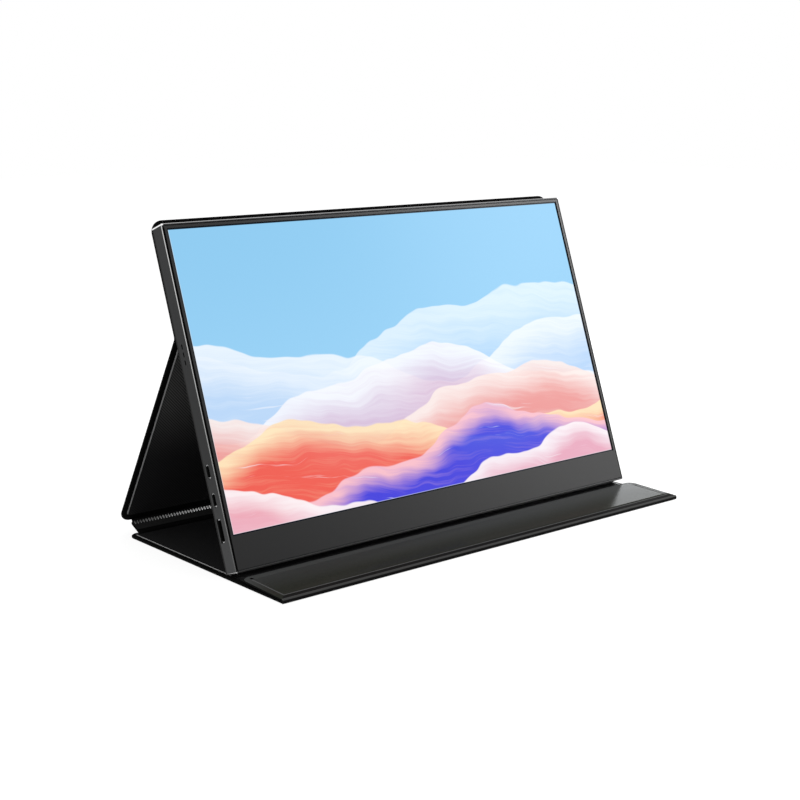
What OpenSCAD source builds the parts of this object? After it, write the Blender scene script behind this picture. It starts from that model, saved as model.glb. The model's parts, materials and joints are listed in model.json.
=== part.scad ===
// Portable flat monitor standing in a folding magnetic cover.
// The cover is one chain of stiff panels joined by soft folds: flap, floor panel, spine, leg and
// back panel. The back panel holds the monitor by magnets and the leg props it from behind.
// Millimetres. +Z is up, the screen faces -Y and leans back, and X runs along the width.
// The origin is on the table, under the middle of the whole object.

/* [Screen] */
// Width of the lit screen
screen_w = 344.2; // [300:0.2:380]
// Height of the lit screen
screen_h = 193.6; // [180:0.2:206]
// Width of the dark rim beside the lit screen
rim_side = 4.5; // [4:0.1:9]
// Height of the dark rim above the lit screen
rim_top = 4.4; // [4:0.1:9]
// Height of the chin below the lit screen
chin_h = 23.8; // [22:0.5:32]
// Black border of the panel between the bezel and the lit screen
black_border = 1.0; // [0.6:0.1:1.2]

/* [Monitor case] */
// Depth of the monitor from front to back
monitor_t = 12.0; // [12:0.1:15]
// Wall thickness of the metal case frame
wall_t = 1.2; // [1:0.1:1.4]
// Radius of the case's corners, seen from the front
corner_r = 1.2; // [0.9:0.1:2]
// Polished chamfer along the front edge of the case
edge_chamfer = 0.8; // [0.4:0.1:0.8]
// Dark groove between the case frame and the bezel
groove_w = 0.5; // [0.3:0.1:0.6]
// Thickness of the front bezel
bezel_t = 0.8; // [0.6:0.1:0.8]
// Thickness of the back plate
back_plate_t = 1.2; // [1:0.1:1.4]
// Width of the ledge that carries the back plate
rear_ledge_w = 2.6; // [2:0.1:3]
// Width of the ledge behind the display panel
front_ledge_w = 1.6; // [1.2:0.1:1.8]
// Thickness of the ledge behind the display panel
front_ledge_t = 0.6; // [0.4:0.1:0.6]
// Gap between the back plate and the walls around it
plate_gap = 0.15; // [0.1:0.05:0.3]

/* [Stand] */
// Height of the cover's back fold, measured up the monitor's back
back_fold_s = 150.5; // [140:0.5:160]
// Length of the leg panel between its two folds
leg_l = 158.0; // [140:0.2:176]
// Length of the spine between its two folds
spine_l = 13.9; // [12.5:0.1:17]
// How far the spine rises from the table, in degrees
spine_tilt = 26.02; // [15:0.01:40]
// Length of the floor panel between its two folds
floor_l = 179.5; // [160:0.5:200]
// Length of the flap from its fold to its free edge
flap_l = 43.7; // [30:0.1:46]
// Distance from the flap's free edge to the line where the monitor's lower back edge rests
flap_stand_off = 16.8; // [15.5:0.1:24]
// Gap under the monitor's lower back edge, where it rests on the floor panel
rest_gap = 0.3; // [0.1:0.05:0.4]
// How far the springy fold keeps the flap up from lying flat, in degrees
flap_tilt = 1.7; // [0.5:0.1:3]

/* [Cover] */
// How far the floor panel and flap stand out past the monitor on each side
floor_margin = 1.2; // [0:0.1:4]
// How far the leg and back panel stand out past the monitor on each side
leg_margin = 0.0; // [0:0.1:2]
// How far the back panel stands up past the monitor's top
cover_rise = 5.1; // [3:0.1:8]
// Thickness of a finished cover panel
panel_t = 1.6; // [1.5:0.1:2.2]
// Thickness of the outer skin
skin_t = 0.5; // [0.4:0.1:0.6]
// Thickness of the inner lining
lining_t = 0.3; // [0.2:0.1:0.4]
// Width of the skin's turned-over hem on the inner face
hem_w = 4.6; // [3.5:0.1:6]
// Width of skin beside the stiffener at a panel's edge
edge_w = 0.9; // [0.7:0.1:1.5]
// Corner radius of the panels
panel_r = 8.5; // [6:0.5:12]
// Half width of the soft strip at each fold
fold_half = 1.8; // [1.5:0.1:2.2]
// How far the spine and its folds stay in from the leg's sides
spine_inset = 7.8; // [6:0.2:12]
// Gap between the folded flap and the floor panel
flap_clear = 0.2; // [0.1:0.05:0.4]
// Gap between the monitor's back and the back panel
back_clear = 0.2; // [0.1:0.05:0.4]

/* [Magnets] */
// Radius of a magnet disc
magnet_r = 5.0; // [3:0.5:6]
// Distance between magnets along a row
magnet_pitch = 60.0; // [40:5:70]
// Number of magnets in a row
magnet_count = 5; // [2:1:5]
// Distances of the lower magnet row from the back fold and of the upper row from the back panel's end
magnet_in = [20, 21.4];
// Width of a steel keeper strip
keeper_w = 12.0; // [8:1:14]
// Thickness of a steel keeper strip
keeper_t = 0.5; // [0.3:0.1:0.6]

/* [Ports] */
// Depth of the ports' centre line behind the front
port_q = 7.1; // [7:0.1:7.6]
// Heights of the two oval ports above the monitor's lower edge
usb_s = [47, 65];
// Height of the wide port above the monitor's lower edge
hdmi_s = 27.5; // [25:0.5:30]
// Oval port: length and height of the steel shell, and its depth
usb_shell = [8.94, 3.26, 7.35];
// Wide port: length and height of the steel shell, and its depth
hdmi_shell = [14.8, 4.8, 11.0];
// Sheet thickness of the ports' shells
shell_t = 0.3; // [0.2:0.05:0.35]
// Gap between a port's shell and the wall around it
port_gap = 0.15; // [0.1:0.05:0.25]
// Radius of the headphone jack's bore
jack_bore_r = 1.8; // [1.75:0.05:1.9]
// Depth of the headphone jack's bore
jack_bore_l = 13.2; // [12:0.2:15]
// Height of the headphone jack above the monitor's lower edge
jack_s = 84.0; // [80:1:90]
// Height of the middle sound slot above the monitor's lower edge
slot_s = 139.1; // [125:0.5:150]
// Distance between the sound slots
slot_pitch = 5.05; // [4:0.05:7]
// Length and height of a sound slot
slot_size = [3.3, 1.2];
// Depth of the sound slots' centre line behind the front
slot_q = 6.4; // [6.2:0.1:7]

/* [Buttons] */
// Height of the power button above the monitor's lower edge
power_s = 60.0; // [55:1:66]
// Length of the power button
power_l = 8.0; // [6:0.5:10]
// Height of the menu rocker above the monitor's lower edge
rocker_s = 38.0; // [36:1:42]
// Length of the menu rocker
rocker_l = 18.0; // [14:0.5:20]
// Width of the power button and the menu rocker
button_w = 2.4; // [2:0.1:2.6]
// How far both stand out of the case
button_proud = 0.5; // [0.3:0.1:0.8]
// Depth of both buttons' centre line behind the front
button_q = 6.6; // [6.4:0.1:7]
// Gap around both buttons in the wall
button_gap = 0.2; // [0.15:0.05:0.3]
// Travel of the power button
button_travel = 0.3; // [0.2:0.05:0.4]
// Radius of the rocker's pivot pin
pivot_r = 0.6; // [0.5:0.05:0.7]
// Radial clearance of the pivot pin in its lugs
pivot_clear = 0.05; // [0.03:0.01:0.08]

/* [Hidden] */
$fn = 48;
eps = 0.01;

// Monitor: x is the width, y the height up the screen, and depth q runs back from the front (-z).
monitor_w = screen_w + 2 * rim_side;
monitor_h = screen_h + rim_top + chin_h;
wall_x = monitor_w / 2 - wall_t;
plate_q = monitor_t - back_plate_t;
rear_ledge_t = 1.2;
bezel_in = wall_t + groove_w;

// Display panel, front to back
layer_gap = 0.05;
panel_margin = 2.2;
panel_foot = 4.5;
panel_w = screen_w + 2 * panel_margin;
panel_y = chin_h - panel_foot;
panel_h = panel_foot + screen_h + panel_margin;
panel_rim = 1.0;
cell_q = bezel_t + layer_gap;
cell_t = 1.1;
stack_q = cell_q + cell_t + layer_gap;
films_t = 0.45;
guide_q = stack_q + films_t + layer_gap;
guide_t = 0.6;
reflector_q = guide_q + guide_t + layer_gap;
reflector_t = 0.2;
tray_q = reflector_q + reflector_t + layer_gap;
tray_t = 0.3;
panel_end_q = tray_q + tray_t;
ledge_q = panel_end_q + 2 * layer_gap;
ledge_end_q = ledge_q + front_ledge_t;
led_h = 2.4;

// Boards behind the panel
board_t = 1.0;
board_q = port_q + usb_shell[1] / 2;
board_x = -wall_x + rear_ledge_w + 0.9;
board_size = [75, 72];
board_y = 12;
board_hole_r = 1.1;
board_hole_in = 4.0;
// Chips and connectors as place, length, height and thickness, and the rows of coils and filters
board_chips = [[30, 30, 14, 14, 1.2], [30, 50, 12, 8, 1], [50, 30, 8, 10, 1], [64, 50, 5, 12, 1.4]];
coil_count = 3;
coil_at = [18, 28];
coil_pitch = 8;
coil_size = [5, 5, 2.2];
filter_count = 6;
filter_at = [47, 60];
filter_pitch = 2.4;
filter_size = [1.2, 2, 0.6];
spreader_past = 3;
spreader_t = 0.5;
side_board_q = button_q + 1.6;
side_board_w = 13.5;
side_board_y = [26, 70];
side_board_x = wall_x - rear_ledge_w - 0.9 - side_board_w;
driver_q = ledge_end_q + 0.1;
driver_t = 0.6;
driver_y = [8.5, 10];
driver_in = 32.1;
driver_w = screen_w - 2 * driver_in;
chip_size = [14, 5, 0.9];
chip_pitch = driver_w * 3 / 14;
flex_t = 0.15;
cable_t = 0.2;
cable_lap = 5;
panel_cable_w = 12;
panel_cable_in = 28;
flex_count = 4;
flex_w = 36;

// Screw posts of the case frame
post_r = 3.0;
post_in = wall_t + post_r - 0.5;
post_hole_r = 0.8;
post_hole_l = 4.5;
screw_r = 0.75;
screw_head_r = 1.6;
screw_head_t = 0.6;
side_post_s = [100, 180];
row_post_x = monitor_w / 3;
stand_off_r = 2.2;

// Buttons
flange_t = 0.6;
flange_gap = 0.2;
flange_x = wall_x - flange_gap - flange_t;
stem_w = 1.4;
stem_x = flange_x - 2.0;
pivot_x = flange_x - 0.4;
rocker_flange_l = 8.0;
rocker_stem_s = 6.0;
lug_t = 0.5;
lug_w = 3.2;
lug_gap = 0.2;
lug_in = button_w / 2 + lug_gap;
switch_gap = 0.05;

rocker_tilt = 2;

// Headphone jack and speakers
jack_nose_r = 2.4;
jack_body = [6.2, 4.8];
speaker_size = [13, 38, 4.2];
gasket_t = 0.8;
mouth_l = 3.4 * slot_pitch;
mouth_w = 2.0;

// Stiffener inside a cover panel
stiff_t = panel_t - skin_t - lining_t;
web_t = skin_t + lining_t;
floor_w = monitor_w + 2 * floor_margin;
leg_w = monitor_w + 2 * leg_margin;
spine_w = leg_w - 2 * spine_inset;
magnet_gap = 0.05;
// Gap that parts a fold's strip from the panel that turns against it
fold_gap = 0.02;

// Side view of the stand as [y, z] points, measured from the line where the monitor rests
function along(a, d) = [d * cos(a), d * sin(a)];
rest_z = panel_t + rest_gap;
flap_axis = [-flap_stand_off - flap_l, panel_t + flap_clear / 2];
floor_axis = [flap_axis[0] + floor_l, panel_t / 2];
spine_a = spine_tilt;
leg_axis = floor_axis + along(spine_a, spine_l);
// The screen leans back until the leg, between its two folds, just reaches the monitor's back.
back_in = back_clear + panel_t / 2;
fold_reach = norm([back_fold_s, back_in]);
leg_reach = norm(leg_axis - [0, rest_z]);
rest_a = acos((fold_reach * fold_reach + leg_reach * leg_reach - leg_l * leg_l) / (2 * fold_reach * leg_reach));
fold_a = atan2(leg_axis[1] - rest_z, leg_axis[0]) + rest_a;
back_a = fold_a + atan2(back_in, back_fold_s);
lean = 90 - back_a;
back_axis = [0, rest_z] + along(fold_a, fold_reach);
leg_a = atan2(back_axis[1] - leg_axis[1], back_axis[0] - leg_axis[0]);
monitor_y = -monitor_t * cos(lean);
monitor_z = rest_z + monitor_t * sin(lean);
back_l = monitor_h + cover_rise - back_fold_s;
// Lengths of the stiff panels between their soft strips
back_open_l = back_l - fold_half;
leg_open_l = leg_l - 2 * fold_half;
spine_open_l = spine_l - 2 * fold_half;
floor_open_l = floor_l - fold_half;
// Front and back ends of the whole object, which centre it on the origin
front_y = flap_axis[0] - flap_clear / 2 - panel_t;
leg_end_y = leg_axis[0] + fold_half * cos(leg_a) + panel_t / 2 * sin(leg_a);
leg_turn = (leg_a - spine_a) / 2;
leg_fold_r = fold_half / tan(leg_turn);
leg_fold_y = leg_axis[0] - fold_half * cos(spine_a) - leg_fold_r * sin(spine_a) + leg_fold_r + web_t / 2;
rear_y = max(leg_end_y, leg_fold_y);
shift_y = -(front_y + rear_y) / 2;
// Places of the magnet rows above the back fold
magnet_rows = [magnet_in[0], back_l - magnet_in[1]];

// ---- places ----

// The monitor's own frame: x width, y up the screen, z towards the viewer
module on_monitor() {
    translate([0, monitor_y + shift_y, monitor_z]) rotate([90 - lean, 0, 0]) children();
}

// A cover panel's own frame: y runs along the panel from its fold and z is its inner side
module on_panel(p, a) {
    translate([0, p[0] + shift_y, p[1]]) rotate([a, 0, 0]) children();
}

module on_floor() {
    on_panel([flap_axis[0], panel_t / 2], 0) children();
}

// The folded flap lies over the floor panel with its inner side down.
module on_flap() {
    on_panel(flap_axis, flap_tilt) translate([0, 0, (flap_clear + panel_t) / 2])
        mirror([0, 0, 1]) children();
}

module on_spine() {
    on_panel(floor_axis, spine_a) children();
}

module on_leg() {
    on_panel(leg_axis, leg_a) children();
}

module on_back() {
    on_panel(back_axis, back_a) children();
}

// ---- shapes ----

// Extrude from depth q back by t in the monitor's frame
module layer(q, t) {
    translate([0, 0, -q - t]) linear_extrude(t) children();
}

// Extrude along x, from x to x + l, a shape drawn in [y, z]
module across(x, l) {
    translate([x, 0, 0]) rotate([90, 0, 90]) linear_extrude(l) children();
}

// Rectangle with rounded corners, centred on x and standing on y = 0
module rounded(w, h, r) {
    translate([-w / 2 + r, 0]) square([w - 2 * r, h]);
    translate([-w / 2, r]) square([w, h - 2 * r]);
    for (x = [-w / 2 + r, w / 2 - r], y = [r, h - r]) translate([x, y]) circle(r);
}

// Slot with round ends, centred on the origin and lying along x
module pill(l, w) {
    square([l - w, w], center = true);
    for (x = [-1, 1]) translate([x * (l - w) / 2, 0]) circle(w / 2);
}

// A box by its low corner in x and y, its size, and its depth span in the monitor's frame
module slab(x, y, w, h, q, t) {
    layer(q, t) translate([x, y]) square([w, h]);
}

// The monitor's outline, drawn in from its edge
module outline(in) {
    translate([0, in]) rounded(monitor_w - 2 * in, monitor_h - 2 * in, max(corner_r - in, 0.3));
}

// The display panel's outline, drawn in from its edge
module panel_outline(in) {
    translate([-panel_w / 2 + in, panel_y + in]) square([panel_w - 2 * in, panel_h - 2 * in]);
}

// Places of the case screws, in x and y
module at_posts() {
    for (x = [-1, 1], y = concat([post_in], side_post_s, [monitor_h - post_in]))
        translate([x * (monitor_w / 2 - post_in), y]) children();
    for (x = [-row_post_x / 2, row_post_x / 2], y = [post_in, monitor_h - post_in])
        translate([x, y]) children();
}

// Places of the main board's screws, in x and y; its port corner has none
module at_main_holes() {
    right_x = board_x + board_size[0] - board_hole_in;
    top_y = board_y + board_size[1] - board_hole_in;
    for (p = [[board_x + board_hole_in, top_y], [right_x, top_y], [right_x, board_y + board_hole_in]])
        translate(p) children();
}

// Places of the side board's screws, in x and y
module at_side_holes() {
    for (y = [board_hole_in, side_board_y[1] - board_hole_in])
        translate([side_board_x + board_hole_in, side_board_y[0] + y]) children();
}

// The monitor's body with a chamfer round its front edge
module case_body() {
    intersection() {
        layer(0, monitor_t) outline(0);
        translate([-monitor_w, 0, 0]) across(0, 2 * monitor_w) chamfered(monitor_h);
        translate([-monitor_w / 2, 2 * monitor_h, 0]) rotate([90, 0, 0])
            linear_extrude(3 * monitor_h) chamfered(monitor_w);
    }
}

// Section of that width with both front corners cut; its other sides lie past the body
module chamfered(w) {
    past = 1;
    side = edge_chamfer + past;
    deep = monitor_t + past;
    polygon([
        [-past, -deep], [-past, -side], [edge_chamfer + past, past],
        [w - edge_chamfer - past, past], [w + past, -side], [w + past, -deep]
    ]);
}

// Sheet-metal outline of the wide port, with its two slanted corners towards the front
module hdmi_outline(in) {
    l = hdmi_shell[0] / 2 - in;
    h = hdmi_shell[1] / 2 - in;
    c = 1.6;
    polygon([[-l, -h], [l, -h], [l, h - c], [l - c, h], [c - l, h], [-l, h - c]]);
}

// Panel outline: y from 0 to l, with its corner radii at the near and the far end
module sheet(w, l, near_r, far_r) {
    translate([-w / 2, near_r]) square([w, l - near_r - far_r]);
    if (near_r > 0) sheet_end(w, near_r);
    if (far_r > 0) translate([0, l]) mirror([0, 1]) sheet_end(w, far_r);
}

module sheet_end(w, r) {
    translate([-w / 2 + r, 0]) square([w - 2 * r, r]);
    for (x = [-1, 1]) translate([x * (w / 2 - r), r]) circle(r);
}

// Panel outline drawn in from its edge
module inner_sheet(w, l, near_r, far_r, in) {
    translate([0, in]) sheet(w - 2 * in, l - 2 * in, max(near_r - in, 0), max(far_r - in, 0));
}

// Outer skin of a panel with its hem turned over the edges
module skin(w, l, near_r, far_r) {
    difference() {
        translate([0, 0, -panel_t / 2]) linear_extrude(panel_t) sheet(w, l, near_r, far_r);
        translate([0, 0, skin_t - panel_t / 2]) linear_extrude(stiff_t)
            inner_sheet(w, l, near_r, far_r, edge_w);
        translate([0, 0, panel_t / 2 - lining_t - eps]) linear_extrude(lining_t + 2 * eps)
            inner_sheet(w, l, near_r, far_r, hem_w);
    }
}

// Stiffener of a panel
module stiffener(w, l, near_r, far_r) {
    translate([0, 0, skin_t - panel_t / 2]) linear_extrude(stiff_t)
        inner_sheet(w, l, near_r, far_r, edge_w);
}

// Lining of a panel, inside the hem
module lining(w, l, near_r, far_r) {
    translate([0, 0, panel_t / 2 - lining_t]) linear_extrude(lining_t)
        inner_sheet(w, l, near_r, far_r, hem_w);
}

// Row of magnet places along x
module along_row() {
    for (i = [0 : magnet_count - 1])
        translate([(i - (magnet_count - 1) / 2) * magnet_pitch, 0, 0]) children();
}

// Magnet discs, or with a gap the holes for them, at the stiffener's depth
module magnets(gap) {
    translate([0, 0, skin_t - panel_t / 2 + magnet_gap - gap])
        cylinder(stiff_t - 2 * magnet_gap + 2 * gap, magnet_r + gap, magnet_r + gap);
}

// Soft strip bent round a fold at p, from the panel that lies along a to the one along b
module fold_strip(p, a, b, w) {
    turn = b > a ? 1 : -1;
    r = fold_half / tan(abs(b - a) / 2);
    gap_a = fold_gap / r * 180 / PI;
    c = p - along(a, fold_half) + along(a + 90, turn * r);
    reach = 2 * (r + web_t);
    translate([0, shift_y, 0]) across(-w / 2, w) translate(c) intersection() {
        difference() {
            circle(r + web_t / 2);
            circle(r - web_t / 2);
        }
        polygon([[0, 0], along(a - turn * 90, reach), along(b - turn * (90 + gap_a), reach)]);
    }
}

// ---- monitor ----

// Metal frame: side walls, both ledges, screw posts and the rocker's lugs
module case_frame() {
    color([0.25, 0.25, 0.26]) on_monitor() difference() {
        union() {
            difference() {
                case_body();
                layer(-eps, monitor_t + 2 * eps) outline(wall_t);
            }
            layer(ledge_q, front_ledge_t) difference() {
                outline(wall_t - eps);
                outline(wall_t + front_ledge_w);
            }
            layer(plate_q - rear_ledge_t, rear_ledge_t) difference() {
                outline(wall_t - eps);
                outline(wall_t + rear_ledge_w);
            }
            layer(ledge_q, plate_q - ledge_q) at_posts() circle(post_r);
            rocker_lugs();
        }
        layer(plate_q - post_hole_l, post_hole_l + eps) at_posts() circle(post_hole_r);
        port_cuts();
        button_cuts();
        sound_cuts();
    }
}

module rocker_lugs() {
    for (q = [button_q - lug_in - lug_t, button_q + lug_in])
        slab(pivot_x - lug_w / 2, rocker_s - lug_w / 2, wall_x - pivot_x + lug_w / 2 + eps, lug_w, q, lug_t);
}

module port_cuts() {
    across(-monitor_w / 2 - eps, wall_t + rear_ledge_w + 2 * eps) {
        for (s = usb_s)
            translate([s, -port_q]) pill(usb_shell[0] + 2 * port_gap, usb_shell[1] + 2 * port_gap);
        translate([hdmi_s, -port_q]) hdmi_outline(-port_gap);
    }
    across(wall_x - eps, wall_t + 2 * eps) translate([jack_s, -port_q])
        circle(jack_nose_r + port_gap);
}

module button_cuts() {
    across(wall_x - eps, wall_t + 2 * eps) {
        translate([power_s, -button_q]) pill(power_l + 2 * button_gap, button_w + 2 * button_gap);
        translate([rocker_s, -button_q]) pill(rocker_l + 2 * button_gap, button_w + 2 * button_gap);
    }
    translate([pivot_x, rocker_s, -button_q - lug_in - lug_t - 1])
        cylinder(2 * (lug_in + lug_t + 1), pivot_r + pivot_clear, pivot_r + pivot_clear);
}

module sound_cuts() {
    for (x = [-monitor_w / 2 - eps, wall_x - eps], i = [-1 : 1])
        across(x, wall_t + 2 * eps) translate([slot_s + i * slot_pitch, -slot_q])
            pill(slot_size[0], slot_size[1]);
}

// Flat back with countersunk screw places and stand-offs for both boards
module back_plate() {
    color([0.12, 0.12, 0.13]) on_monitor() difference() {
        union() {
            layer(plate_q, back_plate_t) outline(wall_t + plate_gap);
            layer(board_q + board_t, plate_q - board_q - board_t + eps)
                at_main_holes() circle(stand_off_r);
            layer(side_board_q + board_t, plate_q - side_board_q - board_t + eps)
                at_side_holes() circle(stand_off_r);
        }
        layer(plate_q - eps, back_plate_t + 2 * eps) at_posts() circle(screw_r + 0.1);
        layer(monitor_t - screw_head_t, screw_head_t + eps) at_posts() circle(screw_head_r + 0.1);
        layer(side_board_q, plate_q - side_board_q + 0.4) {
            at_main_holes() circle(screw_r + 0.02);
            at_side_holes() circle(screw_r + 0.02);
        }
    }
}

// Bezel frame round the screen, with the chin
module front_bezel() {
    color([0.24, 0.24, 0.25]) on_monitor() layer(0, bezel_t) difference() {
        outline(bezel_in);
        translate([-screen_w / 2 - black_border, chin_h - black_border])
            square([screen_w + 2 * black_border, screen_h + 2 * black_border]);
    }
}

// Ribbed bar that backs the chin
module chin_support() {
    bar_y = post_in + post_r + 0.3;
    bar_h = panel_y - 0.4 - bar_y;
    bar_w = 2 * wall_x - 6;
    pockets = 12;
    pocket_w = bar_w / pockets - 2;
    color([0.2, 0.2, 0.2]) on_monitor() difference() {
        slab(-bar_w / 2, bar_y, bar_w, bar_h, cell_q, ledge_end_q - 0.2 - cell_q);
        for (i = [0 : pockets - 1])
            slab(-bar_w / 2 + 1 + i * bar_w / pockets, bar_y + 1, pocket_w, bar_h - 2, cell_q + 1, 9);
    }
}

module lcd_cell() {
    color([0.5, 0.75, 0.92]) on_monitor() layer(cell_q, cell_t) panel_outline(0);
}

// Moulded frame that holds the films and the light guide
module panel_frame() {
    color("white") on_monitor() layer(stack_q, panel_end_q - stack_q) difference() {
        panel_outline(0);
        panel_outline(panel_rim);
    }
}

module optical_films() {
    color("whitesmoke") on_monitor() layer(stack_q, films_t) panel_outline(panel_rim + 0.2);
}

module light_guide() {
    in = panel_rim + 0.2;
    color("aliceblue") on_monitor() layer(guide_q, guide_t) difference() {
        panel_outline(in);
        translate([-panel_w / 2, panel_y]) square([panel_w, in + led_h + 0.1]);
    }
}

module reflector_sheet() {
    color("white") on_monitor() layer(reflector_q, reflector_t) panel_outline(panel_rim + 0.2);
}

module panel_tray() {
    color("silver") on_monitor() layer(tray_q, tray_t) panel_outline(panel_rim + 0.2);
}

// Strip of lamps along the light guide's lower edge
module led_bar() {
    lamps = 36;
    in = panel_rim + 0.2;
    bar_w = panel_w - 2 * in;
    color("khaki") on_monitor() {
        slab(-bar_w / 2, panel_y + in, bar_w, led_h / 2, guide_q, guide_t);
        for (i = [0 : lamps - 1])
            slab(-bar_w / 2 + (i + 0.25) * bar_w / lamps, panel_y + in + led_h / 2 - eps,
                bar_w / lamps / 2, led_h / 2, guide_q, guide_t);
    }
}

// Bent film circuits from the display's lower edge to the driver board
module source_flexes() {
    color("goldenrod") on_monitor() for (i = [0 : flex_count - 1]) {
        x = (i - (flex_count - 1) / 2) * driver_w / flex_count - flex_w / 2;
        slab(x, panel_y - flex_t - layer_gap, flex_w, flex_t, cell_q, driver_q - cell_q);
        slab(x, panel_y - 4, flex_w, 4 - layer_gap, driver_q - flex_t, flex_t);
    }
}

module driver_board() {
    color("darkgreen") on_monitor() {
        slab(-driver_w / 2, driver_y[0], driver_w, driver_y[1], driver_q, driver_t);
        for (i = [-1.5 : 1.5]) slab(i * chip_pitch - chip_size[0] / 2, driver_y[0] + 2,
            chip_size[0], chip_size[1], driver_q + driver_t, chip_size[2]);
    }
}

module main_board() {
    color("darkgreen") on_monitor() layer(board_q, board_t) difference() {
        translate([board_x, board_y]) square(board_size);
        translate([board_x - eps, hdmi_s - hdmi_shell[0] / 2 - 0.2])
            square([hdmi_shell[2] - 2, hdmi_shell[0] + 0.4]);
        at_main_holes() circle(board_hole_r);
    }
}

// Chips, coils and connectors on the main board
module board_parts() {
    color([0.1, 0.1, 0.1]) on_monitor() translate([board_x, board_y, 0]) {
        for (c = board_chips) slab(c[0], c[1], c[2], c[3], board_q - c[4], c[4]);
        for (i = [0 : coil_count - 1])
            slab(coil_at[0], coil_at[1] + i * coil_pitch, coil_size[0], coil_size[1], board_q - coil_size[2], coil_size[2]);
        for (i = [0 : filter_count - 1])
            slab(filter_at[0] + i * filter_pitch, filter_at[1], filter_size[0], filter_size[1],
                board_q - filter_size[2], filter_size[2]);
    }
}

module heat_spreader() {
    chip = board_chips[0];
    color("darkgray") on_monitor() translate([board_x, board_y, 0])
        slab(chip[0] - spreader_past, chip[1] - spreader_past, chip[2] + 2 * spreader_past,
            chip[3] + 2 * spreader_past, board_q - chip[4] - spreader_t, spreader_t);
}

// Oval ports: steel shell, blind mouth and contact tongue
module usb_ports() {
    x = -monitor_w / 2 + 0.2;
    color("silver") on_monitor() for (s = usb_s) {
        difference() {
            across(x, usb_shell[2]) translate([s, -port_q]) pill(usb_shell[0], usb_shell[1]);
            across(x - eps, usb_shell[2] - 0.8) translate([s, -port_q])
                pill(usb_shell[0] - 2 * shell_t, usb_shell[1] - 2 * shell_t);
        }
        across(x + 0.9, usb_shell[2] - 1.5) translate([s, -port_q])
            square([usb_shell[0] - 2.3, 0.7], center = true);
    }
}

// Wide port: steel shell with two slanted corners, blind mouth and contact tongue
module hdmi_port() {
    x = -monitor_w / 2 + 0.2;
    color("silver") on_monitor() translate([0, hdmi_s, -port_q]) {
        difference() {
            across(x, hdmi_shell[2]) hdmi_outline(0);
            across(x - eps, hdmi_shell[2] - 0.8) hdmi_outline(shell_t);
        }
        across(x + 1.2, hdmi_shell[2] - 1.8) translate([-5.5, -0.2]) square([11, 1.2]);
    }
}

// Headphone jack: body behind the wall and a round nose through it, with one blind bore
module headphone_jack() {
    body_x = monitor_w / 2 - jack_bore_l - 0.8;
    color([0.1, 0.1, 0.1]) on_monitor() difference() {
        union() {
            across(body_x, wall_x - 0.2 - body_x) translate([jack_s, -port_q])
                square(jack_body, center = true);
            across(wall_x - 1, wall_t + 1) translate([jack_s, -port_q]) circle(jack_nose_r);
        }
        across(monitor_w / 2 - jack_bore_l, jack_bore_l + eps) translate([jack_s, -port_q])
            circle(jack_bore_r);
    }
}

module side_board() {
    color("darkgreen") on_monitor() layer(side_board_q, board_t) difference() {
        translate([side_board_x, side_board_y[0]]) square([side_board_w, side_board_y[1]]);
        translate([side_board_x + 2.5, jack_s - jack_body[0] / 2 - 0.2])
            square([side_board_w, jack_body[0] + 0.4]);
        at_side_holes() circle(board_hole_r);
    }
}

// Press switches under the power button and under both ends of the rocker
module tact_switches() {
    press = max(button_travel, rocker_stem_s * sin(rocker_tilt));
    face_x = stem_x - press - switch_gap;
    color("silver") on_monitor() for (s = [power_s, rocker_s - rocker_stem_s, rocker_s + rocker_stem_s]) {
        slab(face_x - 2.8, s - 1.5, 2.4, 3, side_board_q - 2.6, 2.6);
        across(face_x - 0.5, 0.5) translate([s, -button_q]) circle(0.6);
    }
}

module power_button() {
    color([0.15, 0.15, 0.16]) on_monitor() {
        across(flange_x, monitor_w / 2 + button_proud - flange_x) translate([power_s, -button_q])
            pill(power_l, button_w);
        across(flange_x, flange_t) translate([power_s, -button_q]) pill(power_l + 1.4, button_w + 1);
        across(stem_x, flange_x - stem_x + eps) translate([power_s, -button_q])
            square(stem_w, center = true);
    }
}

// Rocker with a pivot pin that turns in the frame's two lugs
module menu_rocker() {
    pin_l = 2 * (lug_in + lug_t);
    color([0.15, 0.15, 0.16]) on_monitor() {
        across(flange_x, monitor_w / 2 + button_proud - flange_x) translate([rocker_s, -button_q])
            pill(rocker_l, button_w);
        for (s = [-rocker_stem_s, rocker_stem_s])
            across(stem_x, flange_x - stem_x + eps) translate([rocker_s + s, -button_q])
                square(stem_w, center = true);
        translate([pivot_x, rocker_s, -button_q - pin_l / 2]) cylinder(pin_l, pivot_r, pivot_r);
    }
}

// Flat side-firing speaker with a sound mouth towards the slots and a shallow cone
module speaker(side) {
    q = slot_q - speaker_size[2] / 2 + 0.5;
    x = wall_x - gasket_t - speaker_size[0];
    color([0.12, 0.12, 0.12]) on_monitor() mirror([side < 0 ? 1 : 0, 0, 0]) difference() {
        slab(x, slot_s - speaker_size[1] / 2, speaker_size[0], speaker_size[1], q, speaker_size[2]);
        across(x + speaker_size[0] - 1.5, 1.6) translate([slot_s, -slot_q]) pill(mouth_l, mouth_w);
        translate([x + speaker_size[0] / 2, slot_s - 6, -q - speaker_size[2] - eps])
            cylinder(0.6, 4.5, 4.5);
    }
}

module speaker_left() {
    speaker(-1);
}

module speaker_right() {
    speaker(1);
}

// Foam rings between the speakers and the slotted walls
module speaker_gaskets() {
    color([0.08, 0.08, 0.08]) on_monitor() for (side = [0, 1]) mirror([side, 0, 0])
        across(wall_x - gasket_t, gasket_t) translate([slot_s, -slot_q]) difference() {
            pill(mouth_l + 3, mouth_w + 1.2);
            pill(mouth_l, mouth_w);
        }
}

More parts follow.
